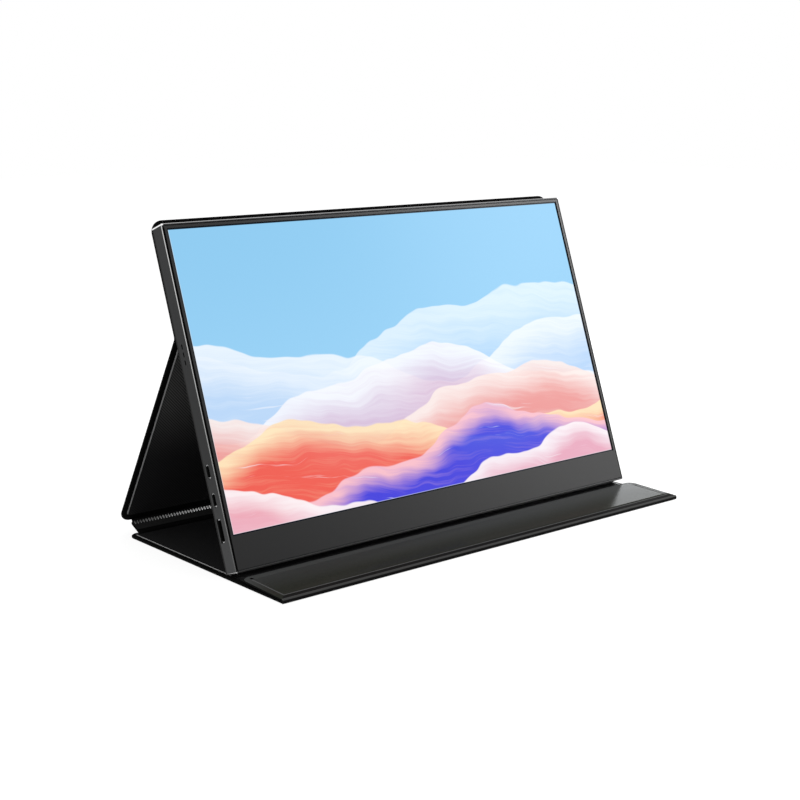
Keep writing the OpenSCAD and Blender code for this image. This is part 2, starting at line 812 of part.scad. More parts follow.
// Flat twin wires from the main board to both speakers
module speaker_wires() {
    wire_w = 1.6;
    wire_t = 0.8;
    wire_q = plate_q - wire_t - 0.1;
    start_y = board_y + board_size[1] - 6;
    cross_y = side_board_y[0] + side_board_y[1] + 3;
    left_x = -wall_x + 10.5;
    right_x = wall_x - 12;
    end_y = slot_s - speaker_size[1] / 2 - 0.2;
    color("crimson") on_monitor() {
        slab(left_x, start_y, wire_w, end_y - start_y, wire_q, wire_t);
        slab(left_x, cross_y, right_x - left_x, wire_w, wire_q, wire_t);
        slab(right_x, cross_y, wire_w, end_y - cross_y, wire_q, wire_t);
        for (x = [left_x, right_x]) slab(x, end_y - wire_w, wire_w, wire_w, slot_q, wire_q - slot_q);
    }
}

// Flat cable that climbs from the driver board to the main board
module panel_cable() {
    x = board_x + board_size[0] - panel_cable_in;
    y = driver_y[0] + driver_y[1] - 1.6;
    start_q = driver_q + driver_t;
    color("ivory") on_monitor() {
        slab(x, y - cable_lap, panel_cable_w, cable_lap, start_q, cable_t);
        slab(x, y, panel_cable_w, cable_t, start_q, board_q - start_q);
        slab(x, y, panel_cable_w, cable_lap, board_q - cable_t, cable_t);
    }
}

// Flat cable behind the boards, from the main board to the side board
module side_board_cable() {
    w = 6;
    y = 50;
    left_x = board_x + board_size[0];
    run_q = plate_q - cable_t - 0.1;
    color("ivory") on_monitor() {
        slab(left_x - 6, y, 6.2, w, board_q - cable_t, cable_t);
        slab(left_x + eps, y, cable_t, w, board_q - cable_t, run_q + 2 * cable_t - board_q);
        slab(left_x + eps, y, side_board_x - left_x - 2 * eps, w, run_q, cable_t);
        slab(side_board_x - cable_t - eps, y, cable_t, w, side_board_q - cable_t, run_q + 2 * cable_t - side_board_q);
        slab(side_board_x - cable_t - eps, y, 6, w, side_board_q - cable_t, cable_t);
    }
}

// Steel strips inside the back plate, opposite the cover's magnet rows
module keeper_plates() {
    l = (magnet_count - 1) * magnet_pitch + 3 * magnet_r;
    color("gray") on_monitor() for (row = magnet_rows)
        slab(-l / 2, back_fold_s + row - keeper_w / 2, l, keeper_w, plate_q - keeper_t, keeper_t);
}

// Screws that hold both boards on the back plate's stand-offs
module board_screws() {
    color("silver") on_monitor() {
        layer(board_q - screw_head_t, screw_head_t) at_main_holes() circle(screw_head_r);
        layer(board_q - eps, plate_q + 0.2 - board_q) at_main_holes() circle(screw_r);
        layer(side_board_q - screw_head_t, screw_head_t) at_side_holes() circle(screw_head_r);
        layer(side_board_q - eps, plate_q + 0.2 - side_board_q) at_side_holes() circle(screw_r);
    }
}

// Screws that hold the back plate on the case frame's posts
module case_screws() {
    color("silver") on_monitor() {
        layer(monitor_t - screw_head_t, screw_head_t) at_posts() circle(screw_head_r);
        layer(plate_q - 3, 3 + back_plate_t - screw_head_t + eps) at_posts() circle(screw_r);
    }
}

// ---- cover ----

module place_back() {
    on_back() translate([0, fold_half, 0]) children();
}

module place_leg() {
    on_leg() translate([0, fold_half, 0]) children();
}

module place_spine() {
    on_spine() translate([0, fold_half, 0]) children();
}

module back_skin() {
    color([0.1, 0.1, 0.1]) place_back() skin(leg_w, back_open_l, 0, panel_r);
}

module back_board() {
    color("tan") place_back() difference() {
        stiffener(leg_w, back_open_l, 0, panel_r);
        for (row = magnet_rows) translate([0, row - fold_half, 0]) along_row() magnets(magnet_gap + eps);
    }
}

module back_lining() {
    color([0.15, 0.15, 0.15]) place_back() lining(leg_w, back_open_l, 0, panel_r);
}

module back_magnets() {
    color("silver") on_back() for (row = magnet_rows) translate([0, row, 0]) along_row() magnets(0);
}

module leg_skin() {
    color([0.1, 0.1, 0.1]) place_leg() skin(leg_w, leg_open_l, panel_r, 0);
}

module leg_board() {
    color("tan") place_leg() stiffener(leg_w, leg_open_l, panel_r, 0);
}

module leg_lining() {
    color([0.15, 0.15, 0.15]) place_leg() lining(leg_w, leg_open_l, panel_r, 0);
}

module spine_skin() {
    color([0.1, 0.1, 0.1]) place_spine() difference() {
        translate([0, 0, -panel_t / 2]) linear_extrude(panel_t) sheet(spine_w, spine_open_l, 0, 0);
        translate([0, 0, skin_t - panel_t / 2]) linear_extrude(panel_t)
            inner_sheet(spine_w, spine_open_l, 0, 0, edge_w);
    }
}

module spine_board() {
    color("tan") place_spine() stiffener(spine_w, spine_open_l, 0, 0);
}

module spine_lining() {
    color([0.15, 0.15, 0.15]) place_spine() translate([0, 0, panel_t / 2 - lining_t])
        linear_extrude(lining_t) inner_sheet(spine_w, spine_open_l, 0, 0, edge_w);
}

module floor_skin() {
    color([0.1, 0.1, 0.1]) on_floor() skin(floor_w, floor_open_l, 0, panel_r);
}

module floor_board() {
    color("tan") on_floor() stiffener(floor_w, floor_open_l, 0, panel_r);
}

module floor_lining() {
    color([0.15, 0.15, 0.15]) on_floor() lining(floor_w, floor_open_l, 0, panel_r);
}

module flap_skin() {
    color([0.1, 0.1, 0.1]) on_flap() skin(floor_w, flap_l, 0, panel_r);
}

module flap_board() {
    color("tan") on_flap() difference() {
        stiffener(floor_w, flap_l, 0, panel_r);
        translate([0, flap_l / 2, 0]) along_row() magnets(magnet_gap + eps);
    }
}

module flap_lining() {
    color([0.15, 0.15, 0.15]) on_flap() lining(floor_w, flap_l, 0, panel_r);
}

module flap_magnets() {
    color("silver") on_flap() translate([0, flap_l / 2, 0]) along_row() magnets(0);
}

module back_fold() {
    color([0.08, 0.08, 0.08]) fold_strip(back_axis, leg_a, back_a, leg_w);
}

module leg_fold() {
    color([0.08, 0.08, 0.08]) fold_strip(leg_axis, spine_a, leg_a, spine_w);
}

module floor_fold() {
    color([0.08, 0.08, 0.08]) fold_strip(floor_axis, 0, spine_a, spine_w);
}

// Soft roll that joins the flap to the floor panel
module flap_fold() {
    roll_r = flap_clear / 2 + panel_t;
    gap_a = fold_gap / (roll_r / 2) * 180 / PI;
    out = 3 * roll_r;
    color([0.08, 0.08, 0.08]) translate([0, flap_axis[0] + shift_y, flap_axis[1]])
        across(-floor_w / 2, floor_w) difference() {
            circle(roll_r);
            circle(flap_clear / 2);
            polygon([[0, 0], [0, -out], [out, -out], [out, out], along(90 + flap_tilt + gap_a, out)]);
        }
}

case_frame();
back_plate();
front_bezel();
chin_support();
lcd_cell();
panel_frame();
optical_films();
light_guide();
reflector_sheet();
panel_tray();
led_bar();
source_flexes();
driver_board();
main_board();
board_parts();
heat_spreader();
usb_ports();
hdmi_port();
headphone_jack();
side_board();
tact_switches();
power_button();
menu_rocker();
speaker_left();
speaker_right();
speaker_gaskets();
speaker_wires();
panel_cable();
side_board_cable();
keeper_plates();
board_screws();
case_screws();
back_skin();
back_board();
back_lining();
back_magnets();
leg_skin();
leg_board();
leg_lining();
spine_skin();
spine_board();
spine_lining();
floor_skin();
floor_board();
floor_lining();
flap_skin();
flap_board();
flap_lining();
flap_magnets();
back_fold();
leg_fold();
floor_fold();
flap_fold();
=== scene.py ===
import json
import math

import bmesh
import bpy
from bpy.props import FloatProperty, FloatVectorProperty, PointerProperty
from mathutils import Matrix, Vector


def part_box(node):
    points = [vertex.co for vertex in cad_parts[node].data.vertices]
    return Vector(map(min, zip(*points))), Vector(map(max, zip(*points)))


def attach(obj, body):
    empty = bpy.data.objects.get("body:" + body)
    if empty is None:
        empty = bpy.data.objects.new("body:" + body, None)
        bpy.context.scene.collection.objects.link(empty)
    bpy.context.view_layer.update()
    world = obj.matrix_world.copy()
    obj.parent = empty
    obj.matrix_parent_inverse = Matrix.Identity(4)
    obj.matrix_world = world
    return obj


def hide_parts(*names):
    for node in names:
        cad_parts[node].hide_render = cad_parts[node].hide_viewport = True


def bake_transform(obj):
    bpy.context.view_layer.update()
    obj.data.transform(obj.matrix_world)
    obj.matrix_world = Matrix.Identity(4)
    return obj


bl_info = {
    "name": "Portable Monitor with Folding Cover",
    "version": (1, 0, 0),
    "blender": (4, 5, 0),
    "location": "View3D > Sidebar > Monitor",
    "description": "Dresses a portable monitor and its folding cover, piece by piece",
    "category": "Object",
}

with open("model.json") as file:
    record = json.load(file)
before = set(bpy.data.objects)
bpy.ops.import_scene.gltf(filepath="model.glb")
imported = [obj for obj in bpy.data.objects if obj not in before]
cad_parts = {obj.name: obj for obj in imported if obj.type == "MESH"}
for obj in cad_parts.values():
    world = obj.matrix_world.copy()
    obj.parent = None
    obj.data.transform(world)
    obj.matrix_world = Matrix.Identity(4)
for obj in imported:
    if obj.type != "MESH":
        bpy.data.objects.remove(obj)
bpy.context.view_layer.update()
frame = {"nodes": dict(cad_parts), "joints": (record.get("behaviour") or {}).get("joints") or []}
nodes = frame["nodes"]
joints = {joint["name"]: joint for joint in frame["joints"]}
MM = 0.001
HAIR = 0.001 * MM  # points nearer than this are one


# ---- places, taken from the frame ----

def local_points(node, place):
    """A node's points in the frame of that place."""
    back = place.inverted()
    return [back @ vertex.co for vertex in nodes[node].data.vertices]


def corners(points):
    """Lowest and highest corners of the box round some points."""
    return [Vector([end(p[i] for p in points) for i in range(3)]) for end in (min, max)]


def local_box(node, place):
    return corners(local_points(node, place))


def hinge(name):
    return Vector(joints[name]["pos_m"])


def slope(start, end):
    return math.atan2(end.z - start.z, end.y - start.y)


def heading(angle):
    """Direction across the width that climbs from +y by that angle."""
    return Vector((0, math.cos(angle), math.sin(angle)))


def panel_place(axis, angle):
    return Matrix.Translation(axis) @ Matrix.Rotation(angle, 4, "X")


pull = joints["monitor_pull_off"]["axis"]
LEAN = math.atan2(pull[2], -pull[1])
tilt = Matrix.Rotation(math.pi / 2 - LEAN, 4, "X")
MONITOR = tilt @ Matrix.Translation(
    (0, local_box("case_frame", tilt)[0].y, local_box("front_bezel", tilt)[1].z))
case_low, case_high = local_box("case_frame", MONITOR)
MONITOR_H, MONITOR_T = case_high.y, -case_low.z
SIDE = (case_high.x - case_low.x) / 2  # from the middle to each side wall's outer face

floor_low, floor_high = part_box("floor_skin")
PANEL_T = floor_high.z - floor_low.z
FOLD_HALF = 1.8 * MM  # from a fold's axis to the panels on both sides
flap_axis = hinge("flap_hinge")
FLAP_TILT = math.pi - math.radians(joints["flap_hinge"]["range_deg"][1])
FLOOR = Matrix.Translation((0, flap_axis.y, PANEL_T / 2))
FLAP = (panel_place(flap_axis, FLAP_TILT)
        @ Matrix.Translation((0, 0, flap_axis.z - PANEL_T / 2))
        @ Matrix.Rotation(math.pi, 4, "Y"))
SPINE_A = slope(hinge("floor_fold_hinge"), hinge("leg_fold_hinge"))
LEG_A = slope(hinge("leg_fold_hinge"), hinge("back_fold_hinge"))
BACK_A = math.pi / 2 - LEAN
SPINE = panel_place(hinge("floor_fold_hinge"), SPINE_A)
LEG = panel_place(hinge("leg_fold_hinge"), LEG_A)
BACK = panel_place(hinge("back_fold_hinge"), BACK_A)


# ---- settings ----

class CoverSettings(bpy.types.PropertyGroup):
    corner: FloatProperty(name="Corner radius", description="Radius of the panels' free corners",
                          default=8.5 * MM, min=0, unit="LENGTH")
    edge: FloatProperty(name="Edge rounding", description="How far the leather rounds the panels' edges",
                        default=0.5 * MM, min=0, unit="LENGTH")
    hem: FloatProperty(name="Hem", description="Width of the leather turned over the inner face",
                       default=3.8 * MM, min=0, unit="LENGTH")
    line: FloatProperty(name="Pressed line", description="Width of the bead and of the pressed line",
                        default=1.1 * MM, min=0, unit="LENGTH")
    line_rise: FloatProperty(name="Bead height", description="Height of the bead",
                             default=0.16 * MM, min=0, unit="LENGTH")
    leg_foot: FloatProperty(name="Leg's foot", description="How far the leg's leather reaches over the fold",
                            default=1.3 * MM, min=0, unit="LENGTH")
    fold_t: FloatProperty(name="Fold thickness", description="Thickness of the soft leather in the folds",
                          default=0.8 * MM, min=0, unit="LENGTH")
    rib_pitch: FloatProperty(name="Rib pitch", description="Distance between the ribs of the spine's band",
                             default=2.25 * MM, min=0.001, unit="LENGTH")
    twill: FloatProperty(name="Twill pitch", description="Distance between the lining's diagonal ribs",
                         default=1.4 * MM, min=0.0005, unit="LENGTH")
    leather: FloatVectorProperty(name="Leather colour", description="Colour of the cover's outer skin",
                                 default=(0.015, 0.0152, 0.0148), subtype="COLOR", min=0, max=1)
    # Painted shade: the leather round the edges is near-black, darker than the faces
    edges: FloatVectorProperty(name="Edge colour", description="Colour of the leather round the edges",
                               default=(0.0014, 0.0014, 0.0014), subtype="COLOR", min=0, max=1)
    # Painted highlight: the bead's pale colour stands for the light its edge catches
    bead: FloatVectorProperty(name="Bead colour", description="Colour of the bead inside the edges",
                              default=(0.4, 0.4, 0.4), subtype="COLOR", min=0, max=1)
    # Painted highlight: the pressed line's paler colour stands for the light it catches
    pressed: FloatVectorProperty(name="Line colour", description="Colour of the line on the outer faces",
                                 default=(0.072, 0.073, 0.073), subtype="COLOR", min=0, max=1)
    # The flap's olive tint is partly a painted reflection of the screen's colours
    flap: FloatVectorProperty(name="Flap colour", description="Colour of the flap at its fold",
                              default=(0.0178, 0.0187, 0.0152), subtype="COLOR", min=0, max=1)
    # Painted light: the flap's paler colour at its free edge
    flap_lit_paler: FloatVectorProperty(name="Worn flap", description="Colour of the flap at its free edge",
                                   default=(0.050, 0.0525, 0.0525), subtype="COLOR", min=0, max=1)
    margin: FloatVectorProperty(name="Flap margin", description="Colour of the matt strip by the flap's fold",
                                default=(0.0095, 0.0095, 0.009), subtype="COLOR", min=0, max=1)
    spine: FloatVectorProperty(name="Spine colour", description="Colour of the spine's inner leather",
                               default=(0.011, 0.011, 0.011), subtype="COLOR", min=0, max=1)
    fold: FloatVectorProperty(name="Fold colour", description="Colour of the soft leather in the folds",
                              default=(0.003, 0.003, 0.003), subtype="COLOR", min=0, max=1)
    # Painted highlight along the top of the flap's fold
    fold_lit_top: FloatVectorProperty(name="Rubbed fold", description="Colour on top of the flap's fold",
                                     default=(0.046, 0.046, 0.045), subtype="COLOR", min=0, max=1)
    cloth: FloatVectorProperty(name="Lining colour", description="Colour of the twill lining",
                               default=(0.0042, 0.0042, 0.0045), subtype="COLOR", min=0, max=1)


class CaseSettings(bpy.types.PropertyGroup):
    metal: FloatVectorProperty(name="Case colour", description="Colour of the anodised case frame",
                               default=(0.0155, 0.0158, 0.0162), subtype="COLOR", min=0, max=1)
    polish: FloatVectorProperty(name="Chamfer colour", description="Colour of the polished chamfer",
                                default=(0.55, 0.55, 0.55), subtype="COLOR", min=0, max=1)
    chamfer: FloatProperty(name="Chamfer", description="Depth of the polished chamfer behind the front",
                           default=0.8 * MM, min=0, unit="LENGTH")
    bezel: FloatVectorProperty(name="Bezel colour", description="Colour of the satin bezel and chin",
                               default=(0.0065, 0.0065, 0.0068), subtype="COLOR", min=0, max=1)
    back: FloatVectorProperty(name="Back colour", description="Colour of the blasted back plate",
                              default=(0.035, 0.035, 0.037), subtype="COLOR", min=0, max=1)
    buttons: FloatVectorProperty(name="Button colour", description="Colour of the button and the rocker",
                                 default=(0.04, 0.04, 0.042), subtype="COLOR", min=0, max=1)
    screw_recess: FloatProperty(name="Screw recess", description="Depth of the cross in the screw heads",
                                default=0.3 * MM, min=0, unit="LENGTH")


class ScreenSettings(bpy.types.PropertyGroup):
    border: FloatProperty(name="Black border", description="Dark border between the bezel and the lit screen",
                          default=1.0 * MM, min=0, unit="LENGTH")
    sky: FloatVectorProperty(name="Sky", description="Upper colour of the picture",
                             default=(0.275, 0.597, 0.87), subtype="COLOR", min=0, max=1)
    haze: FloatVectorProperty(name="Haze", description="Colour of the sky behind the waves",
                              default=(0.33, 0.65, 0.92), subtype="COLOR", min=0, max=1)


class StageSettings(bpy.types.PropertyGroup):
    azimuth: FloatProperty(name="Azimuth", description="Camera's angle round the object",
                           default=math.radians(-40.16), subtype="ANGLE")
    elevation: FloatProperty(name="Elevation", description="Camera's angle above the table",
                             default=math.radians(11.74), subtype="ANGLE")
    roll: FloatProperty(name="Roll", description="Camera's turn about its own axis",
                        default=math.radians(-0.04), subtype="ANGLE")
    place: FloatVectorProperty(name="Camera place", description="Where the camera stands",
                               default=(-0.66423, -0.779364, 0.29604), subtype="XYZ", unit="LENGTH")
    lens: FloatProperty(name="Lens", description="Focal length in millimetres", default=67.372, min=1)
    level: FloatProperty(name="Light level", description="Strength of the even light round the object",
                         default=0.75, min=0)
    floor_paint: FloatProperty(name="Floor paint", description="How much of the light the floor gives back",
                               default=0.34, min=0, max=1)
    floor_glow: FloatProperty(name="Floor glow", description="What the floor adds where it is seen",
                              default=0.79, min=0)


# ---- modelling helpers ----

def deselect():
    bpy.ops.object.select_all(action="DESELECT")


def take(obj):
    """Makes obj the only selected object and the active one."""
    deselect()
    obj.select_set(True)
    bpy.context.view_layer.objects.active = obj


def edit():
    bpy.ops.object.mode_set(mode="EDIT")


def close():
    bpy.ops.object.mode_set(mode="OBJECT")


def edited():
    """The mesh that is being edited."""
    return bmesh.from_edit_mesh(bpy.context.edit_object.data)


def update():
    bmesh.update_edit_mesh(bpy.context.edit_object.data)


def pick(kind, test):
    """Selects the vertices, edges or faces of the edited mesh that pass the test, and no others."""
    bpy.ops.mesh.select_mode(type={"verts": "VERT", "edges": "EDGE", "faces": "FACE"}[kind])
    mesh = edited()
    for group in (mesh.verts, mesh.edges, mesh.faces):
        for item in group:
            item.select = False
    for item in getattr(mesh, kind):
        if test(item):
            item.select_set(True)
    mesh.select_flush_mode()
    update()


def pick_all():
    bpy.ops.mesh.select_all(action="SELECT")


def widest(sign):
    """The largest face that looks along +z or -z."""
    flat = [face for face in edited().faces if face.normal.z * sign > 0.99]
    return max(flat, key=lambda face: face.calc_area()).index


def pick_widest(sign):
    index = widest(sign)
    pick("faces", lambda face: face.index == index)


def ring_round(index):
    """Indices of the faces that border that face."""
    mesh = edited()
    mesh.faces.ensure_lookup_table()
    middle = mesh.faces[index]
    return {face.index for edge in middle.edges for face in edge.link_faces if face is not middle}


def paint_picked(index):
    for face in edited().faces:
        if face.select:
            face.material_index = index
    update()


def extrude(move):
    bpy.ops.mesh.extrude_region_move(TRANSFORM_OT_translate={"value": move})


def sweep(centre, turn, steps):
    """Extrudes what is picked round the x axis through a turn."""
    for _ in range(steps):
        extrude((0, 0, 0))
        mesh = edited()
        picked = [vertex for vertex in mesh.verts if vertex.select]
        bmesh.ops.rotate(mesh, verts=picked, cent=centre, matrix=Matrix.Rotation(turn / steps, 3, "X"))
        update()


def turn_out():
    pick_all()
    bpy.ops.mesh.normals_make_consistent(inside=False)


def apply_place():
    bpy.ops.object.transform_apply(location=True, rotation=True, scale=True)


def start_with(add, name, scale, place, **shape):
    """Adds a primitive round the origin, scales it and puts it at its place."""
    deselect()
    add(**shape)
    obj = bpy.context.object
    obj.name = obj.data.name = name
    obj.matrix_world = place @ Matrix.Diagonal((*scale, 1))
    apply_place()
    return obj


def slab(name, low, high):
    """A flat rectangle at the bottom of the box from low to high, ready to be shaped in edit mode."""
    middle = (low + high) / 2
    return start_with(bpy.ops.mesh.primitive_plane_add, name, (high.x - low.x, high.y - low.y, 1),
                      Matrix.Translation((middle.x, middle.y, low.z)), size=1)


def block(name, low, high, rounding=0.0):
    """A box, with rounded edges where rounding is given."""
    obj = start_with(bpy.ops.mesh.primitive_cube_add, name, high - low,
                     Matrix.Translation((low + high) / 2), size=1)
    if rounding:
        edit()
        pick_all()
        bpy.ops.mesh.bevel(offset=rounding, segments=2, affect="EDGES")
        close()
    return obj


def put_at(obj, place):
    """Moves a shape, modelled round the origin, to its place in the frame."""
    take(obj)
    obj.matrix_world = place
    apply_place()


def face_out(obj):
    """Merges doubled points and turns every face outwards."""
    take(obj)
    edit()
    pick_all()
    bpy.ops.mesh.remove_doubles(threshold=HAIR)
    turn_out()
    close()


def modify(obj, kind, **settings):
    """Gives obj a modifier with these settings and applies it."""
    take(obj)
    modifier = obj.modifiers.new(kind.lower(), kind)
    for name, value in settings.items():
        setattr(modifier, name, value)
    bpy.ops.object.modifier_apply(modifier=modifier.name)


def cut_out(obj, tool):
    """Takes the tool's shape out of obj and removes the tool."""
    modify(obj, "BOOLEAN", object=tool, operation="DIFFERENCE", solver="EXACT")
    bpy.data.objects.remove(tool)


def smooth(obj, degrees):
    take(obj)
    bpy.ops.object.shade_smooth_by_angle(angle=math.radians(degrees))


def merge(name, parts):
    """Joins parts into one piece."""
    take(parts[0])
    for part in parts:
        part.select_set(True)
    if len(parts) > 1:
        bpy.ops.object.join()
    obj = bpy.context.object
    obj.name = obj.data.name = name
    return obj


def copy_of(obj, name):
    """A free copy with its own mesh and without the frame's marks."""
    twin = obj.copy()
    twin.data = obj.data.copy()
    twin.name = twin.data.name = name
    twin.parent = None
    for mark in [key for key in twin.keys() if key.startswith("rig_")]:
        del twin[mark]
    bpy.context.scene.collection.objects.link(twin)
    return twin


def dress(obj, *materials):
    while len(obj.data.materials) < len(materials):
        obj.data.materials.append(None)
    for index, material in enumerate(materials):
        obj.data.materials[index] = material


def paint_all(obj, index):
    for face in obj.data.polygons:
        face.material_index = index


def settle(obj, body, slot, *replaced):
    """A finished piece rides on its body and stands for its nodes."""
    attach(obj, body)
    if replaced:
        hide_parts(*replaced)


def fit(obj, place, degrees, body, slot, *replaced):
    """Puts a closed shape at its place, smooths it up to that angle and settles it."""
    put_at(obj, place)
    face_out(obj)
    smooth(obj, degrees)
    settle(obj, body, slot, *replaced)


# ---- material helpers ----

class Nodes:
    """A node tree that is filled node by node."""

    def __init__(self, owner, empty=False):
        owner.use_nodes = True
        self.tree = owner.node_tree
        if empty:
            self.tree.nodes.clear()

    def wire(self, node, inputs):
        """Links or sets inputs. A key is the input's name with _ for each space, or _ and its number."""
        for key, value in inputs.items():
            socket = node.inputs[int(key[1:])] if key[0] == "_" else node.inputs[key.replace("_", " ")]
            if isinstance(value, bpy.types.NodeSocket):
                self.tree.links.new(value, socket)
            elif socket.type == "RGBA" and len(value) == 3:
                socket.default_value = (*value, 1)
            else:
                socket.default_value = value

    def node(self, kind, settings=None, **inputs):
        node = self.tree.nodes.new(kind)
        for key, value in (settings or {}).items():
            setattr(node, key, value)
        self.wire(node, inputs)
        return node

    def add(self, kind, settings=None, **inputs):
        return self.node(kind, settings, **inputs).outputs[0]

    def math(self, operation, first, second=0.0, third=0.0):
        return self.add("ShaderNodeMath", {"operation": operation}, _0=first, _1=second, _2=third)

    def product(self, first, *others):
        for other in others:
            first = self.math("MULTIPLY", first, other)
        return first

    def mix(self, factor, first, second):
        """From one colour to the other."""
        return self.node("ShaderNodeMix", {"data_type": "RGBA"}, _0=factor, _6=first, _7=second).outputs[2]

    def mix_value(self, factor, first, second):
        """From one number to the other."""
        return self.add("ShaderNodeMix", _0=factor, _2=first, _3=second)

    def blend_over(self, value, start, end, kind="SMOOTHSTEP"):
        """0 at start and before it, 1 at end and past it."""
        return self.add("ShaderNodeMapRange", {"interpolation_type": kind}, _0=value, _1=start, _2=end)

    def past_all(self, *limits):
        """1 where each value is past its limits, which are given as (value, start, end)."""
        return self.product(*(self.blend_over(*limit) for limit in limits))

    def split(self, vector):
        return self.node("ShaderNodeSeparateXYZ", _0=vector).outputs

    def place(self, where=None, stretch=None):
        """Coordinates in metres on the piece, turned into the frame of a place."""
        plain = self.node("ShaderNodeTexCoord").outputs["Object"]
        if where is not None:
            plain = self.add("ShaderNodeMapping", {"vector_type": "TEXTURE"}, Vector=plain,
                             Location=where.to_translation(), Rotation=where.to_euler())
        if stretch:
            plain = self.add("ShaderNodeMapping", {"vector_type": "POINT"}, Vector=plain, Scale=stretch)
        return plain

    def noise(self, vector, scale, detail=2.0, roughness=0.5):
        return self.add("ShaderNodeTexNoise", Vector=vector, Scale=scale, Detail=detail, Roughness=roughness)

    def bump(self, height, strength, distance):
        return self.add("ShaderNodeBump", Height=height, Strength=strength, Distance=distance)

    def seen(self):
        """1 for rays from the camera, in mirrors and through glass."""
        ray = self.node("ShaderNodeLightPath").outputs
        direct = self.math("MAXIMUM", ray["Is Camera Ray"], ray["Is Glossy Ray"])
        return self.math("MAXIMUM", direct, ray["Is Transmission Ray"])


class Finish(Nodes):
    """A new material, or one that is already made, with its shader."""

    def __init__(self, material, **shader):
        if isinstance(material, str):
            old = bpy.data.materials.get(material)
            if old:
                bpy.data.materials.remove(old)
            material = bpy.data.materials.new(material)
        super().__init__(material)
        self.material = material
        self.shader = self.tree.nodes["Principled BSDF"]
        self.wire(self.shader, shader)

    def fed_by(self, name):
        """What goes into that input of the shader."""
        return self.shader.inputs[name].links[0].from_socket

    def give(self, **inputs):
        self.wire(self.shader, inputs)
        return self.material


def grey(level):
    return (level, level, level)


def shade(colour, factor):
    return tuple(min(1, c * factor) for c in colour)


def dark_and_light(colour, share):
    return shade(colour, 1 - share), shade(colour, 1 + share)


# ---- finishes ----

def speckled(name, colour, grain, share=0.12, rough=(0.4, 0.55), bump=0.1, depth=0.05 * MM,
             where=None, **shader):
    """Plain moulded, painted or blasted surface: fine mottling in colour, gloss and relief."""
    finish = Finish(name, **shader)
    spots = finish.noise(finish.place(where), 1 / grain, 3.0)
    return finish.give(
        Base_Color=finish.mix(spots, *dark_and_light(colour, share)),
        Roughness=finish.math("MULTIPLY_ADD", spots, rough[1] - rough[0], rough[0]),
        Normal=finish.bump(spots, bump, depth))


def metal_finish(name, colour, rough=(0.25, 0.38)):
    return speckled(name, colour, 0.35 * MM, share=0.1, rough=rough, bump=0.05, depth=0.02 * MM, Metallic=1.0)


def leather_finish(name, colour, where=None, rough=(0.26, 0.36), specular=0.5, relief=0.12):
    """Black imitation leather: pebbled grain, pores and uneven gloss."""
    finish = Finish(name, Specular_IOR_Level=specular)
    spot = finish.place(where)
    pebbles = finish.add("ShaderNodeTexVoronoi", {"feature": "SMOOTH_F1"}, Vector=spot, Scale=1400.0,
                         Smoothness=0.6)
    creases = finish.noise(spot, 420.0, 4.0, 0.6)
    clouds = finish.noise(spot, 28.0)
    grain = finish.math("MULTIPLY_ADD", creases, 0.7, pebbles)
    gloss = finish.math("MULTIPLY_ADD", clouds, rough[1] - rough[0], rough[0])
    return finish.give(
        Base_Color=finish.mix(grain, *dark_and_light(colour, 0.3)),
        Roughness=finish.math("MULTIPLY_ADD", creases, 0.06, gloss),
        Normal=finish.bump(grain, relief, 0.06 * MM))


def twill_finish(name, colour, pitch, where, lit_over=None):
    """Black lining with fine diagonal ribs crossed by threads. Painted light makes it pale over the stretch
    lit_over.
    """
    finish = Finish(name, Specular_IOR_Level=0.12)
    spot = finish.place(where)
    across, along, _ = finish.split(spot)
    beat = math.sqrt(2) * math.pi / pitch
    ribs = finish.math("SINE", finish.product(finish.math("ADD", across, along), beat))
    threads = finish.math("SINE", finish.product(finish.math("SUBTRACT", across, along), beat))
    fuzz = finish.noise(spot, 2600.0)
    weave = finish.math("MULTIPLY_ADD", ribs, 0.5, 0.5)
    weave = finish.math("MULTIPLY_ADD", threads, 0.22, weave)
    weave = finish.math("MULTIPLY_ADD", fuzz, 0.35, weave)
    raised = finish.blend_over(weave, 0.1, 1.2)
    cloth = finish.mix(raised, shade(colour, 0.45), shade(colour, 2.2))
    # Painted light: the lining turns pale where more light reaches it up the leg
    if lit_over:
        painted_lit = finish.mix(raised, (0.016, 0.016, 0.016), (0.085, 0.086, 0.084))
        cloth = finish.mix(finish.blend_over(along, *lit_over), cloth, painted_lit)
    return finish.give(
        Base_Color=cloth,
        Roughness=finish.math("MULTIPLY_ADD", fuzz, 0.15, 0.72),
        Normal=finish.bump(weave, 0.5, 0.12 * MM))


def drawn_streaks(finish):
    """Fine lines of drawn metal. They run up the side walls and across the other walls."""
    fine, long = 2200, 90
    normal = finish.node("ShaderNodeNewGeometry").outputs["Normal"]
    sideways = finish.math("GREATER_THAN", finish.math("ABSOLUTE", finish.split(normal)[0]), 0.6)
    drawn_up = finish.noise(finish.place(MONITOR, (fine, long, fine)), 1.0, 3.0, 0.6)
    drawn_across = finish.noise(finish.place(MONITOR, (long, fine, fine)), 1.0, 3.0, 0.6)
    return finish.mix(sideways, drawn_across, drawn_up)


def wall_colour(finish, case, streaks):
    """Anodised walls, with painted light that makes them paler towards the foot and the top, and a painted
    shade strip along the rear edge.
    """
    spot = finish.place(MONITOR)
    _, up, depth = finish.split(spot)
    clouds = finish.noise(spot, 60.0)
    # Painted light: the paler colour the walls take by the foot and the top
    painted_pale = shade(case.metal, 2.6)
    mottle = finish.math("MULTIPLY_ADD", clouds, 0.4, finish.product(streaks, 0.6))
    walls = finish.mix(mottle, *dark_and_light(case.metal, 0.22))
    walls = finish.mix(finish.blend_over(up, 70 * MM, 5 * MM), walls, painted_pale)
    walls = finish.mix(finish.product(finish.blend_over(up, 130 * MM, 200 * MM), 0.25), walls, painted_pale)
    # Painted shade: a dark strip along the walls' rear edge
    rear = finish.blend_over(depth, 1.5 * MM - MONITOR_T, 1.2 * MM - MONITOR_T)
    return finish.mix(rear, walls, shade(case.metal, 0.15))


